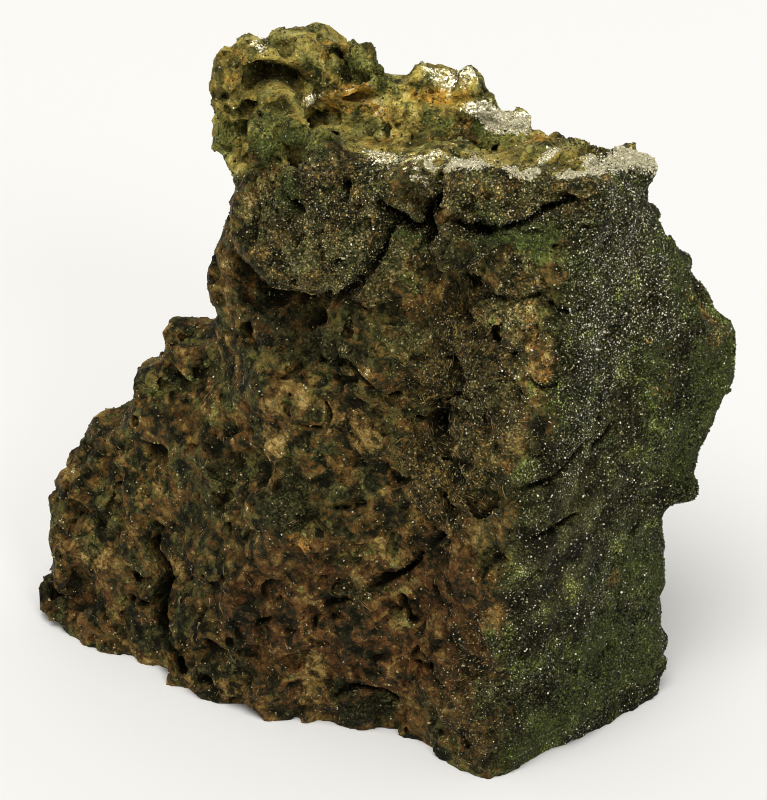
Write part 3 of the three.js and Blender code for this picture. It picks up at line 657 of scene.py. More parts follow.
# ---- Patches of colour: for each kind its centres, half-widths and strengths ----
PATCHES = {
    "moss": [
        # Under the cap and the nodule.
        ((18.4, -23.2, 79.9), (6.2, 4, 2.6), 1.4), ((23.6, -23.4, 81.4), (3, 3, 2.6), 0.9),
        ((5, -14, 75.4), (2.4, 3, 2.2), 0.7), ((12.8, -22, 72.8), (2.6, 3, 1.4), 0.7),
        # Along the flat side and its flank, from the top down.
        ((38, -5, 72), (4, 7, 4), 0.75), ((40.5, -2, 67.5), (4, 6, 4.5), 0.95),
        ((43.5, -7, 62.5), (3.4, 6, 4), 0.9), ((38.5, -13, 56), (3, 3, 4), 0.7),
        ((38, -13.5, 51.5), (3, 3, 2.5), 0.75), ((46.5, -7, 50), (4.5, 6, 9), 0.8),
        ((44.5, -8, 40), (6, 6, 9), 0.95), ((26, -25, 58), (4, 4, 6), 0.45),
        ((44.5, -6, 32), (5, 5, 4), 0.9), ((36, -14, 26), (6, 5, 6), 0.6),
        ((39.5, -10.5, 20), (4, 4, 8), 0.75), ((30, -19, 11), (12, 10, 9), 0.7),
        ((38, -11.5, 9), (4, 5, 4.5), 1.2), ((24, -25, 4.8), (9, 8, 4.5), 0.6),
        # Tower, horn and basin.
        ((-13.5, -1, 85.5), (4, 4, 4), 0.9), ((-9.7, -4, 84.5), (3, 3, 2.6), 0.9),
        ((-12, -7.5, 79), (2.5, 3, 3), 0.7), ((-1.8, 10.6, 90), (2.6, 3, 3), 1.1),
        ((0.4, 10.5, 87), (2, 3, 2), 0.9), ((10.1, 3.3, 83.2), (2.2, 2, 1.4), 0.8),
        ((13.5, 4, 82.4), (1.8, 2, 1.2), 0.7), ((-21.2, 6, 80), (3, 4, 5), 0.75),
        ((14.5, 0.5, 83.4), (7.5, 5, 2.6), 0.55),
        # Right flank and back.
        ((20, 26, 50), (10, 8, 12), 0.8), ((-10, 30, 14), (9, 6, 6), 0.7),
        ((41, 8, 22), (7, 9, 14), 0.8), ((-30, 26, 20), (8, 7, 6), 0.6),
    ],
    "orange": [
        # Horn, tower and basin.
        ((-3.6, 8.5, 85), (2, 3, 2.4), 1.1), ((9.9, 7, 86.8), (4, 2.5, 1.1), 0.6),
        ((0.9, 8.6, 83.4), (3.5, 3, 1.5), 0.5), ((4, 3, 80.5), (4, 3, 2), 0.45),
        ((-3.8, 10.4, 90.5), (1.6, 2, 1.4), 0.8), ((8.6, 6.6, 86), (3.4, 3, 1.4), 0.8),
        ((24, -3.6, 84), (3, 2.4, 1.4), 0.7), ((13, 3.6, 82.6), (3.6, 2, 1.2), 0.6),
        ((-17.6, 7.4, 90.6), (2.4, 3, 2.4), 0.5), ((-6.4, 10, 91.4), (1.8, 3, 1.4), 0.5),
        # Front edge and left face.
        ((18.3, -27, 50.5), (1, 2, 3), 0.38), ((17.3, -26.7, 47), (1.2, 2, 1.5), 0.7),
        ((17, -30, 35), (2, 3, 3), 0.36), ((16.2, -30, 29), (2.2, 3, 4), 0.4),
        ((15, -29.5, 22), (1.8, 3, 3), 0.4), ((-10.8, -16.7, 29.5), (1, 2, 1.5), 1),
    ],
    "tan": [
        # The small disc, the cap and the front edge.
        ((21.5, -21.9, 85.4), (2.2, 2, 1), 0.9), ((22, -26.6, 60.3), (1.5, 2.4, 1.5), 1.4),
        ((12.8, -22, 72.4), (2.8, 3, 1.2), 0.7), ((21, -24.2, 76), (0.9, 2, 0.9), 0.9),
        # Left face and lobe.
        ((-12.8, -11.9, 42), (3, 3, 2.8), 1), ((-3.1, -16.1, 47.5), (4.5, 3, 4.5), 0.6),
        ((-17, -7.4, 47.4), (1.4, 2, 0.9), 0.9), ((-39.1, 5, 15), (5, 4, 4), 0.45),
        ((-27.4, -2, 18), (2.3, 2.5, 3), 0.55), ((-8.4, -16.6, 7.4), (2.2, 2.5, 4), 1),
        ((5.8, -19.9, 34.5), (1.6, 2, 1.4), 0.9), ((-20.5, -12.4, 3), (4, 3, 2.5), 0.5),
        ((-13.1, -8.5, 74.7), (1.2, 1.5, 1.2), 1),
    ],
    "red": [
        # Cap front and left face.
        ((14.2, -21.4, 84.8), (2.8, 2, 1.6), 1), ((-43.5, 8.5, 5), (4, 4, 3), 0.9),
        ((4.6, -18.9, 37.6), (1, 1.5, 0.8), 1.2), ((-8, -17, 26), (7, 4, 5), 0.6),
        ((0, -19, 19), (6, 4, 5), 0.6), ((12, -27, 18), (4, 4, 6), 0.6),
        ((-6, -18, 16), (20, 12, 14), 0.95), ((10, -24, 22), (9, 8, 15), 0.9),
        ((-38, 6, 8), (9, 9, 7), 0.6),
    ],
    "dark": [
        # Below the cap, the left face and the back.
        ((19.5, -23.6, 74.5), (3.8, 4, 3.6), 0.66), ((10.8, -24.6, 78.2), (3.4, 4, 3.4), 1.2),
        ((-12.1, -14.7, 34.7), (4.2, 3, 4), 1.1), ((-1.5, -17.3, 4.2), (4.6, 3, 3.2), 1),
        ((12.9, -22, 56.5), (4, 3, 3), 0.7), ((-49, 17, 2), (3, 4, 3), 1.1),
        ((10, 29, 18), (8, 5, 7), 0.8), ((-6, -12, 57.5), (9, 5, 3.5), 0.65),
        ((4, -17, 62), (5, 4, 4), 0.55), ((1, -18, 51), (3, 4, 5), 0.6),
        ((-20, -6, 33), (6, 5, 5), 0.5), ((-2, -19, 24), (9, 4, 3), 0.55),
        ((-33, 4, 14), (4, 6, 8), 0.5),
    ],
    "sand": [
        # Lobe, cap, nodule and the strip beside the edge.
        ((18.5, -24, 72), (5, 5, 7), 0.72), ((14, -25, 56), (9, 8, 14), 0.5),
        ((29.5, -20, 83.6), (5, 6, 2.2), 0.8), ((-4, -9, 75), (13, 9, 10), 1.2),
        ((17, -20.5, 84), (15, 7, 4.2), 1.2), ((11, -22, 77.8), (3.8, 4, 3.8), 1.1),
    ],
    "crust": [
        # The brow, the basin, the knob and the tower.
        ((7, -10, 84.8), (4.5, 6, 2.2), 0.42), ((1.2, -5, 83.2), (3.4, 6, 1.8), 0.5),
        ((22.9, -8.4, 84.6), (1.8, 2.4, 1.2), 0.6), ((-15, 11.6, 92), (1.4, 2.4, 1), 0.5),
        ((17.4, 4.2, 84.2), (4.8, 2.8, 1.7), 1.2), ((19.6, 3.2, 83.6), (2.6, 1.8, 1.1), 0.8),
        ((10.8, 8, 88.8), (5, 2.5, 1.4), 0.42), ((-14, 8.8, 92), (1, 1.6, 1), 0.5),
        ((-7.3, 8, 86.7), (2.4, 2, 1), 0.5), ((22, -4, 82), (3, 3, 1.4), 0.5),
    ],
    "smooth": [
        # Fine grained parts of the flat side.
        ((25, -26.8, 36), (8.5, 7, 13), 1.05), ((24, -25, 5), (10, 8, 4.6), 0.9),
    ],
    "strands": [
        # Beside the front edge.
        ((12, -22, 58), (9, 9, 12), 1), ((10, -22, 44), (7, 9, 8), 0.9),
        ((14, -26, 14), (4, 7, 12), 0.8),
    ],
    # Glint zones: here the paint is lighter and more grains are cream and white, as painted glints.
    "glints": [
        # Flat side, cap, nodule and lobe.
        ((34, -16, 68), (12, 12, 14), 1.3), ((26, -24, 52), (7, 7, 9), 0.75),
        ((20.5, -25, 62), (6, 6, 13), 0.65), ((21, -23, 82), (8, 4, 3), 1.1),
        ((12, -22, 76), (6, 4, 5), 0.7), ((-3, -12, 77), (9, 6, 8), 0.6),
        ((20, -28, 34), (6, 6, 18), 0.4),
    ],
    "rusty": [
        # Two streaks, and the disc below them.
        ((19.4, -23.8, 67.6), (0.8, 2, 1.5), 1.3), ((20.2, -24.4, 65.6), (0.7, 2, 1.4), 1.3),
        ((22, -25.4, 64.2), (0.6, 2, 1.2), 1.2), ((22.7, -26.2, 62.8), (0.5, 2, 1), 1.1),
        ((22.1, -27.5, 60.9), (1.3, 2.4, 1.4), 1.4),
        # Cap front.
        ((14.8, -21.6, 84.6), (2.4, 2, 1.2), 0.62), ((17.8, -22, 84.8), (1.8, 2, 0.8), 0.55),
        # Flat side and its swelling.
        ((43.8, 1.5, 63.6), (2, 4, 2.6), 1.2), ((46.6, 0, 59), (2.4, 4, 2.2), 1.2),
        ((44.4, -5, 62.6), (2.6, 5, 2), 1.1), ((47.2, -6, 58.6), (2.4, 4, 4), 1.1),
        ((37, -13.6, 58.6), (1.2, 2, 1.2), 1), ((39.6, -12, 57), (1, 2, 1), 1),
        ((39.3, -12.6, 51), (0.9, 2, 1.8), 1.1), ((36.6, -14.3, 52.4), (0.8, 2, 0.9), 0.9),
        ((33.1, -16.3, 24.4), (1.3, 2, 1.4), 0.9), ((36, -13, 13.4), (1.6, 2, 0.9), 0.8),
    ],
    "pale": [
        # Flat side and its flank.
        ((36, -11.8, 71), (6, 7, 7), 0.9), ((40.7, -6.2, 67.5), (4, 6, 5), 1.2),
        ((36.7, -14.3, 52.5), (4.5, 5, 5), 0.9), ((47.8, -4.8, 46.5), (2.6, 4, 7), 0.8),
        ((27.7, -23.5, 42), (4, 5, 4.5), 0.7), ((31.5, -18.8, 22.5), (3, 5, 4.5), 0.5),
        ((37.4, -11, 11), (3, 5, 3.6), 0.8), ((24.4, -25.6, 5), (5, 5, 3), 0.5),
        # Front edge and under the cap.
        ((22.1, -27.5, 60.9), (1.3, 2.4, 1.4), 0.9), ((19.5, -24.5, 70), (4, 4, 8), 0.6),
        ((20.3, -29, 16), (2, 3, 5), 0.4), ((14, -22, 84.8), (3, 2.5, 2), 0.3),
        ((19.2, -23.2, 80), (5.8, 4, 2.8), 1.5), ((12.8, -22, 72.6), (3.4, 3, 1.8), 1),
        # Top.
        ((1.8, -6, 83.4), (4, 7, 2.4), 1), ((6, 7.5, 85.5), (7, 5, 4), 0.7),
        ((17.6, 4.4, 84), (5, 3.5, 2), 1), ((12, 4, 84.6), (3, 3, 1.6), 1.1),
    ],
    # Deep patches make the paint darker: painted shade in the cave and the hollows, under the lobe and the
    # cap; elsewhere they only darken it.
    "deep": [
        # Cave and shadowed hollows.
        ((-13.2, 8, 88.9), (3.8, 2.6, 1.6), 1.7), ((-11.4, 2.4, 86.8), (1.8, 2.5, 1.3), 1.5),
        ((-10.5, -9, 77.5), (3.5, 4, 3.5), 0.9), ((-12, -6, 60), (8, 7, 4), 1),
        ((7, -16, 83.4), (3.5, 3, 2), 0.8), ((29, -22.5, 84.8), (4.5, 4, 2), 0.6),
        # Foot, toe and left face.
        ((-24, -8, 16), (20, 12, 15), 0.4), ((12, -26, 22), (8, 8, 16), 0.5),
        ((-48.6, 13.2, 3), (2.4, 4, 2.4), 1.2), ((-45.4, 10.1, 9), (1.6, 2, 2), 1),
        ((-1.5, -17, 4.2), (5, 4, 3.6), 1.1), ((-12.1, -14.7, 34.7), (5, 4, 4.5), 0.8),
        # Nodule, edge and flat side.
        ((23, -25, 52), (2, 3, 6), 0.8), ((22.5, -24.2, 72), (3, 3, 5), 0.7),
        ((38.5, -11, 2), (7, 7, 4), 1.2), ((42.6, -8, 35), (4, 5, 5), 1),
        ((25.6, -26, 25), (8, 7, 13), 0.8), ((43.6, -9, 43), (4, 5, 5), 0.8),
        ((33, -16, 8), (12, 12, 8), 0.7), ((11, -24, 78.2), (3.8, 4, 3.8), 1.7),
    ],
}
# The white crust follows the rim: (place, half-width of the band).
RIM = [
    ((6.2, -12, 85.2), 0.3), ((8.7, -15.5, 86.3), 0.8), ((11.3, -18, 86.7), 1),
    ((14.5, -19.3, 86.8), 0.7), ((17.7, -19.6, 86.9), 0.7), ((20.2, -20.6, 86.8), 0.8),
    ((24.1, -20.4, 87), 1), ((26.8, -18.3, 86.9), 1.1), ((29.7, -14, 86), 1.5),
    ((32.5, -11.6, 85.6), 1.9), ((35.6, -8.6, 84), 2.2), ((37, -6.6, 82.4), 1.4),
]
# Where the flat side's colour reaches further round the front edge: (height, spread, how far).
EDGE_SHIFTS = [(57, 12, 1.2), (41, 7, 2.2), (0, 10, -2.8)]


def patch_strength(kind, p):
    """How strongly the patches of one kind cover each point; the edge of a patch is at 0.5."""
    total = np.zeros(len(p), np.float32)
    for centre, radii, strength in PATCHES[kind]:
        away = np.linalg.norm((p - np.array(centre)) / np.array(radii), axis=1)
        total = np.maximum(total, strength * np.clip(1.5 - away, 0, 1))
    return total


def rim_strength(p):
    """How strongly the band of crust along the rim covers each point."""
    total = np.zeros(len(p), np.float32)
    for (start, wide), (end, wide_end) in zip(RIM, RIM[1:]):
        a, b = np.array(start), np.array(end)
        along = b - a
        t = np.clip(((p - a) @ along) / (along @ along), 0, 1)
        away = np.linalg.norm(p - a - t[:, None] * along, axis=1)
        width = wide + (wide_end - wide) * t
        total = np.maximum(total, np.clip(1.5 - away / width, 0, 1))
    return total


def zone_values(field, warp, points, normals):
    """The strength of each zone of colour at each point of the skin."""
    moved = points + np.stack([field.sample(points, warp[..., i]) for i in range(3)], axis=1) * 0.8
    found = {kind: patch_strength(kind, moved) for kind in PATCHES}
    found["crust"] = np.maximum(found["crust"], rim_strength(points + (moved - points) * 0.4))
    drawn = moved.copy()
    height = moved[:, 2]
    drawn[:, 0] += 0.9 * np.sin(height * 0.55 + 1.3) + 0.5 * np.sin(height * 1.4)
    for middle, spread, shift in EDGE_SHIFTS:
        drawn[:, 0] += shift * np.exp(-((height - middle) / spread) ** 2)
    found["right"] = right_zone(drawn, 2.2, 1.6)
    thin_moss = 0.27 * found["right"] * (1 - 0.8 * ramp(found["smooth"], 0.2, 0.8))
    found["moss"] = np.maximum(found["moss"], thin_moss)
    found["top"] = np.maximum(top_zone(moved, normals), tower_zone(moved))
    return found


def hollow_values(field, points, normals):
    """How much rock closes in on a point: about 0.5 on a flat face, towards 1 in a cleft. The paint
    darkens by it as painted shade.
    """
    rock = (field.value < 0).astype(np.float32)
    near = field.sample(points + normals * 0.4, blurred(rock, 0.8))
    wide = field.sample(points + normals * 0.8, blurred(rock, 2.4))
    return near, wide


def put_values(piece, name, values):
    layer = piece.data.attributes.new(name, "FLOAT", "POINT")
    layer.data.foreach_set("value", np.asarray(values, np.float32))


def mesh_arrays(piece):
    """Corner points in mm, their normals, and triangles."""
    points, triangles = mesh_numbers(piece.data)
    normals = np.empty(points.size, np.float32)
    piece.data.vertices.foreach_get("normal", normals)
    return points, normals.reshape(-1, 3), triangles


# ---- Materials ----
class Paint:
    """A material and short calls that add nodes to it."""

    def __init__(self, name):
        self.material = bpy.data.materials.new(name)
        self.material.use_nodes = True
        self.tree = self.material.node_tree
        self.shader = self.tree.nodes["Principled BSDF"]
        self.place = self.add("ShaderNodeTexCoord").outputs["Object"]

    def add(self, kind, settings=None, **inputs):
        """A node of this kind; an underscore in an input's name stands for a space."""
        node = self.tree.nodes.new(kind)
        for name, value in (settings or {}).items():
            setattr(node, name, value)
        for name, value in inputs.items():
            self.put(node.inputs[name.replace("_", " ")], value)
        return node

    def put(self, socket, value):
        if isinstance(value, bpy.types.NodeSocket):
            self.tree.links.new(value, socket)
        else:
            socket.default_value = value

    def layer(self, name):
        return self.add("ShaderNodeAttribute", {"attribute_name": name}).outputs["Fac"]

    def noise(self, period, detail=4.0, roughness=0.6, distortion=0.0, place=None):
        """Cloudy noise from 0 to 1; the period is in mm."""
        node = self.add("ShaderNodeTexNoise", Vector=place or self.place, Scale=1 / (period * MM),
                        Detail=detail, Roughness=roughness, Distortion=distortion)
        return node.outputs["Fac"]

    def cells(self, size, place=None):
        """Round cells of this size in mm: distance from the middle, and three random values."""
        node = self.add("ShaderNodeTexVoronoi", Vector=place or self.place, Scale=1 / (size * MM))
        values = self.add("ShaderNodeSeparateColor", Color=node.outputs["Color"]).outputs
        return node.outputs["Distance"], *values

    def gaps(self, size, place):
        """The distance from the nearest edge of the same cells."""
        return self.add("ShaderNodeTexVoronoi", {"feature": "DISTANCE_TO_EDGE"}, Vector=place,
                        Scale=1 / (size * MM)).outputs["Distance"]

    def crooked(self, period, reach):
        """The place, moved about by noise of this period, up to about the reach, in mm."""
        noise = self.add("ShaderNodeTexNoise", Vector=self.place, Scale=1 / (period * MM), Detail=3.0)
        moved = self.add("ShaderNodeVectorMath", {"operation": "MULTIPLY_ADD"})
        for socket, value in zip(moved.inputs, (noise.outputs["Color"], (reach * MM,) * 3, self.place)):
            self.put(socket, value)
        return moved.outputs[0]

    def math(self, operation, *values):
        node = self.add("ShaderNodeMath", {"operation": operation})
        for socket, value in zip(node.inputs, values):
            self.put(socket, value)
        return node.outputs[0]

    def total(self, *values):
        """The sum of these sockets and numbers."""
        result = values[0]
        for value in values[1:]:
            result = self.math("ADD", result, value)
        return result

    def times(self, *values):
        """The product of these sockets and numbers."""
        result = values[0]
        for value in values[1:]:
            result = self.math("MULTIPLY", result, value)
        return result

    def without(self, value):
        """1 less the value."""
        return self.math("SUBTRACT", 1.0, value)

    def centred(self, value, weight):
        """A value round 0.5 moved to lie round 0, times the weight."""
        return self.times(self.math("SUBTRACT", value, 0.5), weight)

    def zones(self, **weights):
        """The sum of these zones, each times its weight."""
        return self.total(*(self.times(self.layer(name), weight) for name, weight in weights.items()))

    def step(self, value, low, high):
        """0 below low, 1 above high and smooth between."""
        node = self.add("ShaderNodeMapRange", {"interpolation_type": "SMOOTHSTEP"}, Value=value,
                        From_Min=low, From_Max=high)
        return node.outputs["Result"]

    def ramp(self, value, name):
        """The colour at this place on the named ramp."""
        node = self.add("ShaderNodeValToRGB", Fac=value)
        points = node.color_ramp.elements
        while len(points) < len(RAMPS[name]):
            points.new(1.0)
        for point, (place, colour) in zip(points, RAMPS[name]):
            point.position = place
            point.color = (*colour, 1.0)
        return node.outputs["Color"]

    def mix(self, share, a, b):
        """Colour a turned into colour b by the share."""
        node = self.add("ShaderNodeMix", {"data_type": "RGBA"})
        self.put(node.inputs["Factor"], share)
        for name, value in (("A", a), ("B", b)):
            socket = [s for s in node.inputs if s.name == name and s.type == "RGBA"][0]
            self.put(socket, value if isinstance(value, bpy.types.NodeSocket) else (*value, 1.0))
        return [s for s in node.outputs if s.type == "RGBA"][0]


BLACK = (0.004, 0.004, 0.0015)
SOOT = (0.02, 0.0165, 0.0063)
UMBER = (0.052, 0.033, 0.0085)
RED_BROWN = (0.09, 0.038, 0.0105)
BROWN = (0.115, 0.071, 0.019)
OCHRE = (0.195, 0.125, 0.033)
TAN = (0.31, 0.215, 0.075)
OLIVE = (0.08, 0.07, 0.0165)
OLIVE_SOOT = (0.02, 0.02, 0.0062)
OLIVE_GREY = (0.055, 0.053, 0.0175)
GREY = (0.12, 0.118, 0.048)
MOSS_DARK = (0.009, 0.0125, 0.003)
MOSS_DEEP = (0.028, 0.037, 0.0085)
MOSS = (0.068, 0.088, 0.017)
MOSS_LIGHT = (0.125, 0.14, 0.03)
RUST = (0.18, 0.075, 0.013)
ORANGE = (0.26, 0.145, 0.035)
UNDER_TOP = (0.038, 0.029, 0.007)
BRONZE = (0.1, 0.074, 0.016)
HONEY = (0.175, 0.133, 0.028)
YELLOW = (0.245, 0.195, 0.046)
GOLD = (0.38, 0.315, 0.12)
AMBER = (0.27, 0.145, 0.02)
CREAM = (0.52, 0.475, 0.3)
WHITE = (0.86, 0.82, 0.64)
# Each ramp is a list of (place from 0 to 1, colour), from dark to light.
RAMPS = {
    # Broken faces.
    "warm": [(0.28, BLACK), (0.40, SOOT), (0.48, UMBER), (0.54, RED_BROWN), (0.61, BROWN), (0.71, OCHRE),
             (0.86, TAN)],
    "cool": [(0.28, BLACK), (0.42, OLIVE_SOOT), (0.51, OLIVE_GREY), (0.60, OLIVE), (0.70, BROWN),
             (0.86, OCHRE)],
    "strands": [(0.40, BLACK), (0.49, SOOT), (0.56, UMBER), (0.62, BROWN), (0.69, OCHRE), (0.78, TAN)],
    "red": [(0.30, BLACK), (0.41, SOOT), (0.49, (0.052, 0.024, 0.008)), (0.58, (0.09, 0.039, 0.012)),
            (0.68, (0.13, 0.072, 0.02)), (0.82, (0.24, 0.165, 0.05))],
    "tan": [(0.32, SOOT), (0.44, BROWN), (0.55, OCHRE), (0.7, TAN)],
    "dark": [(0.25, BLACK), (0.5, OLIVE_SOOT), (0.7, OLIVE_GREY), (0.9, GREY)],
    "orange": [(0.34, UMBER), (0.46, RUST), (0.6, ORANGE), (0.74, OCHRE)],
    "rusty": [(0.32, UMBER), (0.46, (0.13, 0.06, 0.014)), (0.6, (0.2, 0.12, 0.028)),
              (0.76, (0.36, 0.27, 0.08))],
    # Granular ore.
    "sand": [(0.34, BLACK), (0.46, OLIVE_SOOT), (0.6, OLIVE_GREY), (0.7, OLIVE), (0.8, GREY), (0.92, TAN)],
    "warm_sand": [(0.34, BLACK), (0.46, SOOT), (0.6, (0.075, 0.052, 0.017)), (0.7, BROWN), (0.8, OCHRE),
                  (0.92, TAN)],
    "brown_sugar": [(0.34, (0.008, 0.0076, 0.0022)), (0.5, (0.026, 0.0245, 0.007)),
                    (0.66, (0.068, 0.063, 0.018)), (0.82, GREY)],
    "olive_sugar": [(0.34, (0.007, 0.008, 0.002)), (0.5, (0.024, 0.028, 0.0068)),
                    (0.64, (0.056, 0.066, 0.016)), (0.82, (0.113, 0.13, 0.038))],
    "smooth": [(0.3, OLIVE_SOOT), (0.55, OLIVE_GREY), (0.85, GREY)],
    # Weathered top, moss and crust.
    "yellow_top": [(0.30, UNDER_TOP), (0.42, BRONZE), (0.52, HONEY), (0.66, YELLOW), (0.85, GOLD)],
    "green_top": [(0.30, MOSS_DARK), (0.42, (0.052, 0.048, 0.012)), (0.54, (0.108, 0.097, 0.024)),
                  (0.68, (0.185, 0.168, 0.048)), (0.88, GOLD)],
    "amber": [(0.32, BRONZE), (0.46, (0.16, 0.085, 0.013)), (0.58, AMBER), (0.78, GOLD)],
    "moss": [(0.4, MOSS_DARK), (0.54, MOSS_DEEP), (0.68, MOSS), (0.84, MOSS_LIGHT)],
    "old_moss": [(0.4, MOSS_DARK), (0.52, (0.034, 0.038, 0.009)), (0.66, (0.09, 0.088, 0.02)),
                 (0.82, (0.18, 0.17, 0.045))],
    "crust": [(0.15, (0.26, 0.23, 0.13)), (0.34, (0.42, 0.38, 0.235)), (0.52, CREAM), (0.78, WHITE)],
    # Loose grains, crumbs and fibres.
    # The cream and white end is for the bright grains: painted glints.
    "ore_grains": [(0.0, BLACK), (0.5, OLIVE_SOOT), (0.75, OLIVE_GREY), (0.88, GREY), (0.92, CREAM),
                   (0.97, WHITE)],
    "sand_grains": [(0.0, BLACK), (0.4, OLIVE_SOOT), (0.6, OLIVE), (0.76, HONEY), (0.9, GOLD),
                    (1.0, CREAM)],
    "crust_grains": [(0.0, (0.27, 0.24, 0.135)), (0.3, (0.42, 0.375, 0.225)), (0.65, CREAM), (1.0, WHITE)],
    "moss_crumbs": [(0.0, MOSS_DARK), (0.45, MOSS_DEEP), (0.8, MOSS), (1.0, MOSS_LIGHT)],
    "fibres": [(0.0, SOOT), (0.5, UMBER), (0.8, OCHRE), (1.0, TAN)],
}


class SkinPaint(Paint):
    """The paint of the skin: shared noises, then one colour laid over another, zone by zone."""

    def __init__(self):
        super().__init__("rock")
        self.broad = self.noise(7.0, detail=2.0)
        self.mottle = self.noise(2.6, detail=5.0, roughness=0.62, distortion=0.4)
        self.hue = self.noise(4.4, detail=3.0, roughness=0.62, distortion=0.3)
        self.speck = self.noise(0.42, detail=3.0, roughness=0.8)
        # Crumbs of two sizes with crooked outlines, each with tones of its own, and grains.
        self.bent = self.crooked(1.1, 1.3)
        _, piece, piece_b, _ = self.cells(1.7, self.bent)
        self.gap = self.gaps(1.7, self.bent)
        self.crumb_far, crumb, crumb_b, _ = self.cells(0.65, self.bent)
        self.grain_far, self.grain, self.grain_b, _ = self.cells(0.3)
        self.edge_noise = self.total(
            self.centred(self.mottle, 0.9), self.centred(self.speck, 0.7), self.centred(crumb_b, 0.18),
            self.centred(self.grain_b, 0.12))
        tone = self.total(self.mottle, self.centred(self.broad, 0.5), self.centred(piece, 0.2),
                          self.centred(crumb, 0.14))
        self.tone = self.total(0.495, self.centred(tone, 1.13))
        self.family = self.total(self.hue, self.centred(piece_b, 0.2), self.centred(crumb_b, 0.1))
        self.top = self.layer("top")
        self.right = self.layer("right")
        self.colour = None

    def cover(self, zone, other, soft, ragged, lift=0.0):
        """Lays another colour where a zone is strong, with an edge broken up by noise."""
        strength = self.total(self.layer(zone), self.times(self.edge_noise, ragged), lift)
        self.colour = self.mix(self.step(strength, 0.5 - soft, 0.5 + soft), self.colour, other)

    # Painted shade: mixes black into the colour by the share.
    def shade_to_black(self, share):
        self.colour = self.mix(share, self.colour, BLACK)

    def paint_broken_faces(self):
        """Black to tan along the mottle, in a redder and a greener family, and patches on them."""
        self.colour = self.mix(
            self.step(self.family, 0.47, 0.57), self.ramp(self.tone, "warm"), self.ramp(self.tone, "cool"))
        # Strands: noise drawn out along a bent direction.
        drawn_out = self.add("ShaderNodeMapping", Vector=self.bent, Rotation=(0.5, 0.9, 0.3),
                             Scale=(1.0, 0.16, 1.0)).outputs[0]
        strand = self.noise(0.45, detail=4.0, roughness=0.7, distortion=0.4, place=drawn_out)
        strand = self.total(strand, self.centred(self.mottle, 0.6))
        self.cover("strands", self.ramp(strand, "strands"), 0.1, 1.6)
        self.cover("red", self.ramp(self.tone, "red"), 0.25, 1.0)
        self.cover("tan", self.ramp(self.tone, "tan"), 0.2, 1.7)
        dark = self.total(self.times(self.grain, 0.4), self.times(self.tone, 0.6))
        self.cover("dark", self.ramp(dark, "dark"), 0.15, 1.0)

    def paint_granular_ore(self):
        """The lobe and the cap, with golden and black grains, and the dark sugary flat side."""
        tone = self.total(self.times(self.grain, 0.4), 0.4, self.centred(self.tone, 0.85))
        sand = self.mix(
            self.step(self.hue, 0.46, 0.58), self.ramp(tone, "sand"), self.ramp(tone, "warm_sand"))
        self.cover("sand", sand, 0.15, 0.9)
        tone = self.total(self.times(self.grain, 0.42), self.times(self.hue, 0.7))
        sugar = self.mix(self.step(self.broad, 0.42, 0.54), self.ramp(tone, "brown_sugar"),
                         self.ramp(tone, "olive_sugar"))
        self.cover("right", sugar, 0.12, 2.3)
        smooth = self.total(self.hue, self.centred(self.speck, 0.4))
        self.cover("smooth", self.ramp(smooth, "smooth"), 0.25, 1.0)

    def paint_weathering(self):
        """The yellow-olive top with amber parts, then moss, rusty streaks and the pale crust."""
        calm = self.total(0.492, self.centred(self.tone, 0.92))
        yellow = self.mix(self.step(self.family, 0.46, 0.56), self.ramp(calm, "yellow_top"),
                          self.ramp(calm, "green_top"))
        self.cover("top", yellow, 0.15, 0.8)
        orange = self.mix(self.top, self.ramp(self.tone, "orange"), self.ramp(self.tone, "amber"))
        self.cover("orange", orange, 0.15, 1.9)
        tone = self.total(
            self.times(self.grain_b, 0.15), self.times(self.mottle, 0.65), self.times(self.speck, 0.4),
            self.centred(self.broad, 0.6), self.centred(self.hue, 0.5))
        moss = self.mix(self.top, self.ramp(tone, "moss"), self.ramp(tone, "old_moss"))
        clumps = self.total(self.centred(self.broad, 1.3), self.centred(self.hue, 1.3))
        self.cover("moss", moss, 0.12, 1.5, clumps)
        self.cover("rusty", self.ramp(self.tone, "rusty"), 0.15, 1.3)
        crust = self.total(self.times(self.grain, 0.6), self.times(self.speck, 0.5))
        self.cover("crust", self.ramp(crust, "crust"), 0.12, 1.6)

    def paint_gap_shade(self):
        """Painted shade: black in the gaps between some of the crumbs and grains, and in the hollows."""
        # Painted shade in the creases between crumbs.
        some = self.times(self.step(self.mottle, 0.44, 0.54), 0.45)
        crease_shade = self.times(self.step(self.gap, 0.08, 0.015), some)
        fine_crease_shade = self.times(self.step(self.crumb_far, 0.62, 0.8), self.step(self.hue, 0.44, 0.54))
        crease_shade = self.math("MAXIMUM", crease_shade, self.times(fine_crease_shade, 0.8))
        crease_shade = self.times(crease_shade, self.without(self.right), self.without(self.times(self.top, 0.4)))
        self.shade_to_black(self.times(crease_shade, 0.85))
        # Painted shade in the gaps between grains on the granular parts.
        between = self.zones(right=0.75, sand=0.5, glints=0.2)
        between = self.times(self.step(self.grain_far, 0.28, 0.5), between)
        self.shade_to_black(self.math("MINIMUM", between, 0.92))
        # Painted shade in hollows and clefts: black laid by how much rock closes in, less on the top and
        # the crust.
        hollow_shade_strength = self.total(0.87, self.zones(top=-0.33, crust=-0.25))
        self.shade_to_black(self.times(self.step(self.layer("near"), 0.46, 0.68), hollow_shade_strength))
        self.shade_to_black(self.times(self.step(self.layer("wide"), 0.44, 0.66), hollow_shade_strength))

    def gain(self):
        """How bright each place is against its own colour: edges, grains and whole zones differ, and
        painted light and shade are part of it.
        """
        # Specks vary more on the granular parts: partly painted sparkle.
        granular = self.math("MAXIMUM", self.right, self.layer("sand"))
        sparkle = self.total(2.1, granular, self.zones(top=-0.5, crust=-1.0))
        sparkle = self.math("MAXIMUM", sparkle, 0.5)
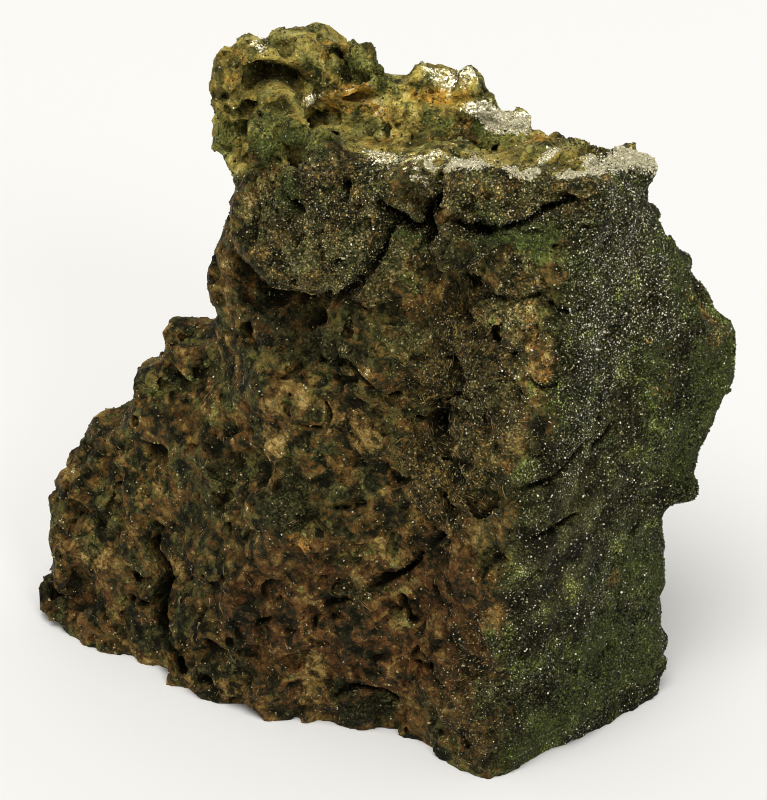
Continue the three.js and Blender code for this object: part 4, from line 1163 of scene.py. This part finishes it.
        # Lighter where little rock closes in: painted light on open edges and knobs, and edge wear. The
        # glint zones and the flat side are lighter: painted glints and light.
        gain = self.total(
            1.13, self.times(self.step(self.layer("near"), 0.42, 0.24), 0.5),
            self.times(self.centred(self.speck, 1.0), sparkle), self.centred(self.grain, 0.6),
            self.zones(top=0.6, right=0.24, sand=0.42, crust=0.45, glints=0.4))
        drift = self.total(self.centred(self.broad, 4.0), self.centred(self.hue, 4.0),
                           self.centred(self.mottle, 1.5))
        drift = self.times(drift, self.right, self.without(self.zones(moss=0.5)))
        # The pale patches lighten the paint and the deep ones darken it, as painted shade in the cave and
        # the hollows.
        drift = self.total(1.0, drift, self.zones(pale=0.7, deep=-0.55))
        return self.times(self.math("MAXIMUM", gain, 0.12), self.math("MAXIMUM", drift, 0.25))

    def relief(self):
        """Fine relief in mm under the mesh's own: rolling, then rounded crumbs, then grains."""
        height = self.total(self.times(self.mottle, 0.8), self.times(self.crumb_far, -0.36),
                            self.times(self.speck, 0.42), self.times(self.grain_far, -0.16))
        return self.add("ShaderNodeBump", Height=height, Distance=MM, Strength=0.9).outputs["Normal"]


def skin_paint():
    paint = SkinPaint()
    paint.paint_broken_faces()
    paint.paint_granular_ore()
    paint.paint_weathering()
    paint.paint_gap_shade()
    scaled = paint.add("ShaderNodeVectorMath", {"operation": "SCALE"}, Scale=paint.gain())
    paint.put(scaled.inputs[0], paint.colour)
    paint.put(paint.shader.inputs["Base Color"], scaled.outputs[0])
    paint.put(paint.shader.inputs["Roughness"], paint.total(0.45, paint.times(paint.grain_b, 0.45)))
    paint.put(paint.shader.inputs["Normal"], paint.relief())
    paint.shader.inputs["Specular IOR Level"].default_value = 0.1
    paint.shader.inputs["Specular Tint"].default_value = (1.0, 0.92, 0.68, 1.0)
    return paint.material


def grain_paint(name, roughness, ior, patchy=0.0, glinting=0.0, spread=1.0):
    """Colour of loose grains: each has its own place on the ramp of this name."""
    paint = Paint(name)
    tone = paint.math("MULTIPLY_ADD", paint.layer("shade"), spread, 0.5 - 0.5 * spread)
    if patchy:
        tone = paint.total(tone, paint.centred(paint.noise(3.0), patchy))
    own = paint.noise(0.3, detail=2.0)
    tone = paint.total(tone, paint.centred(own, 0.15))
    paint.put(paint.shader.inputs["Base Color"], paint.ramp(tone, name))
    paint.put(paint.shader.inputs["Roughness"], paint.total(roughness, paint.times(own, 0.2)))
    if glinting:
        bright = paint.step(paint.layer("glint"), 0.98 - glinting, 1.02 - glinting)
        level = paint.total(0.02, paint.times(bright, 0.5))
        paint.put(paint.shader.inputs["Specular IOR Level"], level)
    paint.shader.inputs["IOR"].default_value = ior
    paint.shader.inputs["Specular Tint"].default_value = (1.0, 0.95, 0.78, 1.0)
    return paint.material


# ---- Grains, crumbs and fibres: small closed bodies set in the skin ----
EIGHT_CORNERS = np.array([[1, 0, 0], [-1, 0, 0], [0, 1, 0], [0, -1, 0], [0, 0, 1], [0, 0, -1]], float)
EIGHT_FACES = np.array([
    [0, 2, 4], [2, 1, 4], [1, 3, 4], [3, 0, 4], [2, 0, 5], [1, 2, 5], [3, 1, 5], [0, 3, 5]])
UNEVEN = 0.35  # how much longer or shorter a grain's corners are than half its size
FIBRE_RINGS = 5
FIBRE_SIDES = 3


def turned(count, random):
    """That many random rotations, as 3 by 3 arrays."""
    q = random.normal(size=(count, 4))
    q /= np.linalg.norm(q, axis=1, keepdims=True)
    w, x, y, z = q.T
    rows = [1 - 2 * (y * y + z * z), 2 * (x * y - w * z), 2 * (x * z + w * y),
            2 * (x * y + w * z), 1 - 2 * (x * x + z * z), 2 * (y * z - w * x),
            2 * (x * z - w * y), 2 * (y * z + w * x), 1 - 2 * (x * x + y * y)]
    return np.stack(rows, axis=1).reshape(-1, 3, 3)


def spots_on(skin_arrays, weight, count, random):
    """Random places on the skin, chosen by area and weight: points, normals and corner numbers."""
    points, normals, triangles = skin_arrays
    a, b, c = points[triangles[:, 0]], points[triangles[:, 1]], points[triangles[:, 2]]
    area = np.linalg.norm(np.cross(b - a, c - a), axis=1) * weight[triangles].mean(axis=1)
    chosen = random.choice(len(triangles), count, p=area / area.sum())
    u, v = random.random(count), random.random(count)
    over = u + v > 1
    u[over], v[over] = 1 - u[over], 1 - v[over]
    place = a[chosen] + u[:, None] * (b - a)[chosen] + v[:, None] * (c - a)[chosen]
    return place, unit(normals[triangles[chosen]].mean(axis=1)), triangles[chosen, 0]


def in_box(points, gap=EDGE_GAP):
    """The points, moved where they must be to stay this far inside the solid's box."""
    low, high = np.array(cad_box[0]) / MM, np.array(cad_box[1]) / MM
    return np.clip(points, low + [gap, gap, 0], high - gap)


def scattered(name, bodies, faces, material, **values):
    """One mesh of many like bodies: their corners, the faces of one, and values for each body."""
    count, corners, _ = bodies.shape
    every = (faces[None] + corners * np.arange(count)[:, None, None]).reshape(-1, 3)
    piece = mesh_object(name, in_box(bodies).reshape(-1, 3), every)
    for key, own in values.items():
        put_values(piece, key, np.repeat(own, corners))
    piece.data.materials.append(material)
    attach(piece, "root")


def grains(name, skin_arrays, weight, count, size, proud, offset, material, shade=None):
    """Eight-faced grains of the given size in mm, part sunk in the skin."""
    random = rng(offset)
    place, out, corner = spots_on(skin_arrays, weight, count, random)
    sizes = size * np.exp(random.normal(0, 0.28, count))
    sizes = np.clip(sizes, 0.45 * size, 2.2 * size)
    shape = EIGHT_CORNERS[None] * random.uniform(1 - UNEVEN, 1 + UNEVEN, (count, 6, 1))
    body = np.einsum("nij,nkj->nki", turned(count, random), shape) * 0.5 * sizes[:, None, None]
    body += (place + out * (sizes * proud)[:, None])[:, None, :]
    shades = random.random(count) if shade is None else shade(corner, random)
    scattered(name, body, EIGHT_FACES, material, shade=shades, glint=random.random(count))


def fibres(name, skin_arrays, weight, flow, count, length, width, offset, material):
    """Thin bent threads that lie in the skin along the flow, each a three-sided closed rod."""
    random = rng(offset)
    place, out, corner = spots_on(skin_arrays, weight, count, random)
    side = unit(np.cross(out, flow[corner] + random.normal(0, 0.2, (count, 3))))
    other = np.cross(out, side)
    long = length * np.exp(random.normal(0, 0.35, count))
    bend = random.normal(0, 0.15, count)
    wide = width * random.uniform(0.7, 1.5, count)
    corners = []
    for ring in range(FIBRE_RINGS):
        s = ring / (FIBRE_RINGS - 1) - 0.5
        drift = (bend * long * (s * s - 0.1))[:, None]
        middle = place + side * (s * long)[:, None] + other * drift + out * (0.08 - 0.7 * s * s)
        thin = wide * (1.0 - 1.4 * abs(s) ** 1.5)
        for k in range(FIBRE_SIDES):
            angle = 2 * math.pi * k / FIBRE_SIDES
            corners.append(middle + (out * math.cos(angle) + other * math.sin(angle)) * thin[:, None])
    faces = []
    for ring in range(FIBRE_RINGS - 1):
        for k in range(FIBRE_SIDES):
            a = FIBRE_SIDES * ring + k
            b = FIBRE_SIDES * ring + (k + 1) % FIBRE_SIDES
            faces += [[a, b, b + FIBRE_SIDES], [a, b + FIBRE_SIDES, a + FIBRE_SIDES]]
    last = FIBRE_SIDES * (FIBRE_RINGS - 1)
    faces = np.array(faces + [[0, 2, 1], [last, last + 1, last + 2]])
    scattered(name, np.stack(corners, axis=1), faces, material, shade=random.random(count))


def glinting(share, low, dull):
    """Shades for grains of which this share, at each corner of the skin, is bright: the bright ones take
    the cream and white end of the ramp, as painted glints.
    """

    def shade(corner, random):
        count = len(corner)
        bright = random.random(count) < share[corner]
        return np.where(bright, random.uniform(low, 1.1, count), dull * random.random(count))

    return shade


# ---- The rock, dressed ----
def make_skin():
    """The skin as one mesh, with fewer faces where it is not seen from the front."""
    field, warp = build_skin()
    points, triangles = largest_body(*field.surface())
    points = in_box(points, INSET)
    dense = mesh_object("dense_skin", points, triangles)
    outward = field.slope(points, step=1.2)
    seen = (outward @ np.array([0.0, -0.8, 0.6]) > -0.2) | (points[:, 2] < 1.5)
    coarser = dense.vertex_groups.new(name="coarser")
    coarser.add(np.flatnonzero(seen).tolist(), 0.02, "REPLACE")
    coarser.add(np.flatnonzero(~seen).tolist(), 1.0, "REPLACE")
    cut = dense.modifiers.new("fewer_faces", "DECIMATE")
    cut.ratio = SKIN_TRIANGLES / len(triangles)
    cut.vertex_group = "coarser"
    cut.vertex_group_factor = FRONT_FAVOUR
    bpy.context.view_layer.update()
    fewer = bpy.data.meshes.new_from_object(dense.evaluated_get(bpy.context.evaluated_depsgraph_get()))
    bpy.data.objects.remove(dense)
    return linked("rock_skin", fewer), field, warp


def sharpen(skin, outward):
    """Moves each corner a little in or out, which leaves small crystal faces."""
    points, _, _ = mesh_arrays(skin)
    move = rng(40).normal(0, CRYSTAL_DEPTH, len(points))
    moved = in_box(points + outward * move[:, None], INSET)
    moved[points[:, 2] < 0.05, 2] = 0.0
    skin.data.vertices.foreach_set("co", (moved * MM).astype(np.float32).ravel())
    skin.data.update()


def scatter(field, arrays, outward, zones, near):
    """Grains, crumbs and fibres, each kind where its zones are, and few in closed hollows."""
    points = arrays[0]
    right, top, strands = zones["right"], zones["top"], zones["strands"]
    moss = ramp(zones["moss"], 0.15, 1.0)
    crust = ramp(zones["crust"], 0.35, 1.1)
    sand = ramp(zones["sand"], 0.4, 0.6)
    smooth = ramp(zones["smooth"], 0.3, 0.7)
    glints = ramp(zones["glints"], 0.2, 1.1)
    plain = (1 - right) * (1 - top) * (1 - sand)
    open_air = np.clip(1.7 - 2.2 * near, 0.03, 1.0) * (points[:, 2] > 0.3)
    front = 0.35 + 0.65 * ramp(-outward[:, 1] + outward[:, 2] * 0.5, -0.3, 0.2)

    ore = grain_paint("ore_grains", 0.1, 2.4, glinting=0.35)
    weight = open_air * front * (
        right * (1 - 0.6 * smooth) * (1 - 0.4 * moss) + 0.3 * sand + (0.02 + 0.4 * glints) * plain)
    weight *= (1 - 0.9 * crust) * (1 + 0.6 * glints)
    # Some ore grains, more in the glint zones, are painted cream and white as glints.
    shade = glinting(0.03 + 0.06 * glints, 0.93, 0.88)
    grains("ore_grains", arrays, weight, 24_500, 0.22, 0.1, 31, ore, shade)

    weight = open_air * front * (glints + 0.2 * right) * (right + 0.6 * plain + 0.5 * sand)
    weight *= 1 - 0.7 * moss
    # About a third of these grains are painted cream and white as glints.
    shade = glinting(np.full(len(points), 0.32), 0.9, 0.5)
    grains("glint_grains", arrays, weight, 11_000, 0.16, 0.12, 36, ore, shade)

    weight = open_air * front * (
        (0.12 + 0.7 * strands) * plain + 0.9 * sand * (1 - crust) + 0.3 * top + 0.1 * right)
    grains("sand_grains", arrays, weight, 24_500, 0.24, 0.0, 32, grain_paint("sand_grains", 0.25, 1.7))

    weight = open_air * crust
    grains("crust_grains", arrays, weight, 8_000, 0.27, 0.05, 33, grain_paint("crust_grains", 0.5, 1.5))

    weight = open_air * moss * front * (1 - 0.8 * top) * (1 - 0.7 * sand)
    crumbs = grain_paint("moss_crumbs", 0.7, 1.4, patchy=1.0, spread=0.8)
    grains("moss_crumbs", arrays, weight, 20_000, 0.3, 0.0, 34, crumbs)

    weight = open_air * front * plain * (1 - 0.9 * moss) * (0.06 + strands)
    flow = np.stack([field.sample(points, waves(field.shape, 9.0, 60 + i)) for i in range(3)], axis=1)
    fibres("fibres", arrays, weight, flow, 2_600, 1.0, 0.04, 35, grain_paint("fibres", 0.5, 1.5))


def dress(skin, field, warp):
    """Gives the skin its fine relief, zones and paint, and scatters the small bodies on it."""
    points, _, _ = mesh_arrays(skin)
    outward = field.slope(points, blurred(field.value, 1.5))
    sharpen(skin, outward)
    arrays = mesh_arrays(skin)
    zones = zone_values(field, warp, arrays[0], outward)
    # How closed in each point is, for the painted shade in hollows and the lighter open edges.
    near, wide = hollow_values(field, arrays[0], outward)
    for name, values in {**zones, "near": near, "wide": wide}.items():
        put_values(skin, name, values)
    skin.data.materials.append(skin_paint())
    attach(skin, "root")
    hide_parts("chromite_rock")
    scatter(field, arrays, outward, zones, near)


# ---- Light and camera ----
def white_floor():
    corners = np.array([[-1, -1, 0], [1, -1, 0], [1, 1, 0], [-1, 1, 0]], float) * FLOOR_HALF
    floor = mesh_object("floor", corners, np.array([[0, 1, 2], [0, 2, 3]]))
    paint = bpy.data.materials.new("floor_white")
    paint.use_nodes = True
    base = paint.node_tree.nodes["Principled BSDF"]
    base.inputs["Base Color"].default_value = (0.86, 0.85, 0.825, 1)
    base.inputs["Roughness"].default_value = 0.9
    base.inputs["Specular IOR Level"].default_value = 0.1
    floor.data.materials.append(paint)


def lamps():
    """A wide soft light from above and in front, and a small soft lamp at the front right."""
    sun = bpy.data.lights.new("ceiling", "SUN")
    sun.energy = 1.75
    sun.angle = math.radians(38)
    linked("ceiling", sun).rotation_euler = Vector(SUN_FROM).to_track_quat("Z", "Y").to_euler()
    lamp = bpy.data.lights.new("front", "AREA")
    lamp.energy = 1.6
    lamp.size = LAMP_SIZE * MM
    body = linked("front", lamp)
    body.location = Vector(LAMP_PLACE) * MM
    body.rotation_euler = (Vector(LAMP_AIM) * MM - body.location).to_track_quat("-Z", "Y").to_euler()


def studio():
    scene = bpy.context.scene
    scene.view_settings.view_transform = "Standard"
    scene.cycles.max_bounces = 5
    scene.cycles.diffuse_bounces = 2
    scene.cycles.glossy_bounces = 2
    scene.cycles.filter_width = 1.0
    world = bpy.data.worlds.new("studio")
    world.use_nodes = True
    sky = world.node_tree.nodes["Background"]
    sky.inputs["Color"].default_value = (1.0, 0.995, 0.975, 1)
    sky.inputs["Strength"].default_value = 0.58
    scene.world = world
    white_floor()
    lamps()


def camera():
    """A long lens that looks down on the front of the rock."""
    eye = bpy.data.cameras.new("camera")
    eye.lens = 150
    eye.sensor_width = 36
    body = linked("camera", eye)
    back = Vector((0, -math.cos(EYE_TILT), math.sin(EYE_TILT)))
    body.location = (Vector(EYE_AIM) + EYE_FAR * back) * MM
    body.rotation_euler = (math.pi / 2 - EYE_TILT, 0, 0)
    bpy.context.scene.camera = body


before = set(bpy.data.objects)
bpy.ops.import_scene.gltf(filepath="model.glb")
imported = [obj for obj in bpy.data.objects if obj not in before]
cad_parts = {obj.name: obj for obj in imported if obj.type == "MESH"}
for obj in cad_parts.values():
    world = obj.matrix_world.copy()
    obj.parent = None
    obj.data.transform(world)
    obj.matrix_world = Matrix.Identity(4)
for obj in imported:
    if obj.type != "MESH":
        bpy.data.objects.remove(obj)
cad_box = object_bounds()
dress(*make_skin())
studio()
camera()
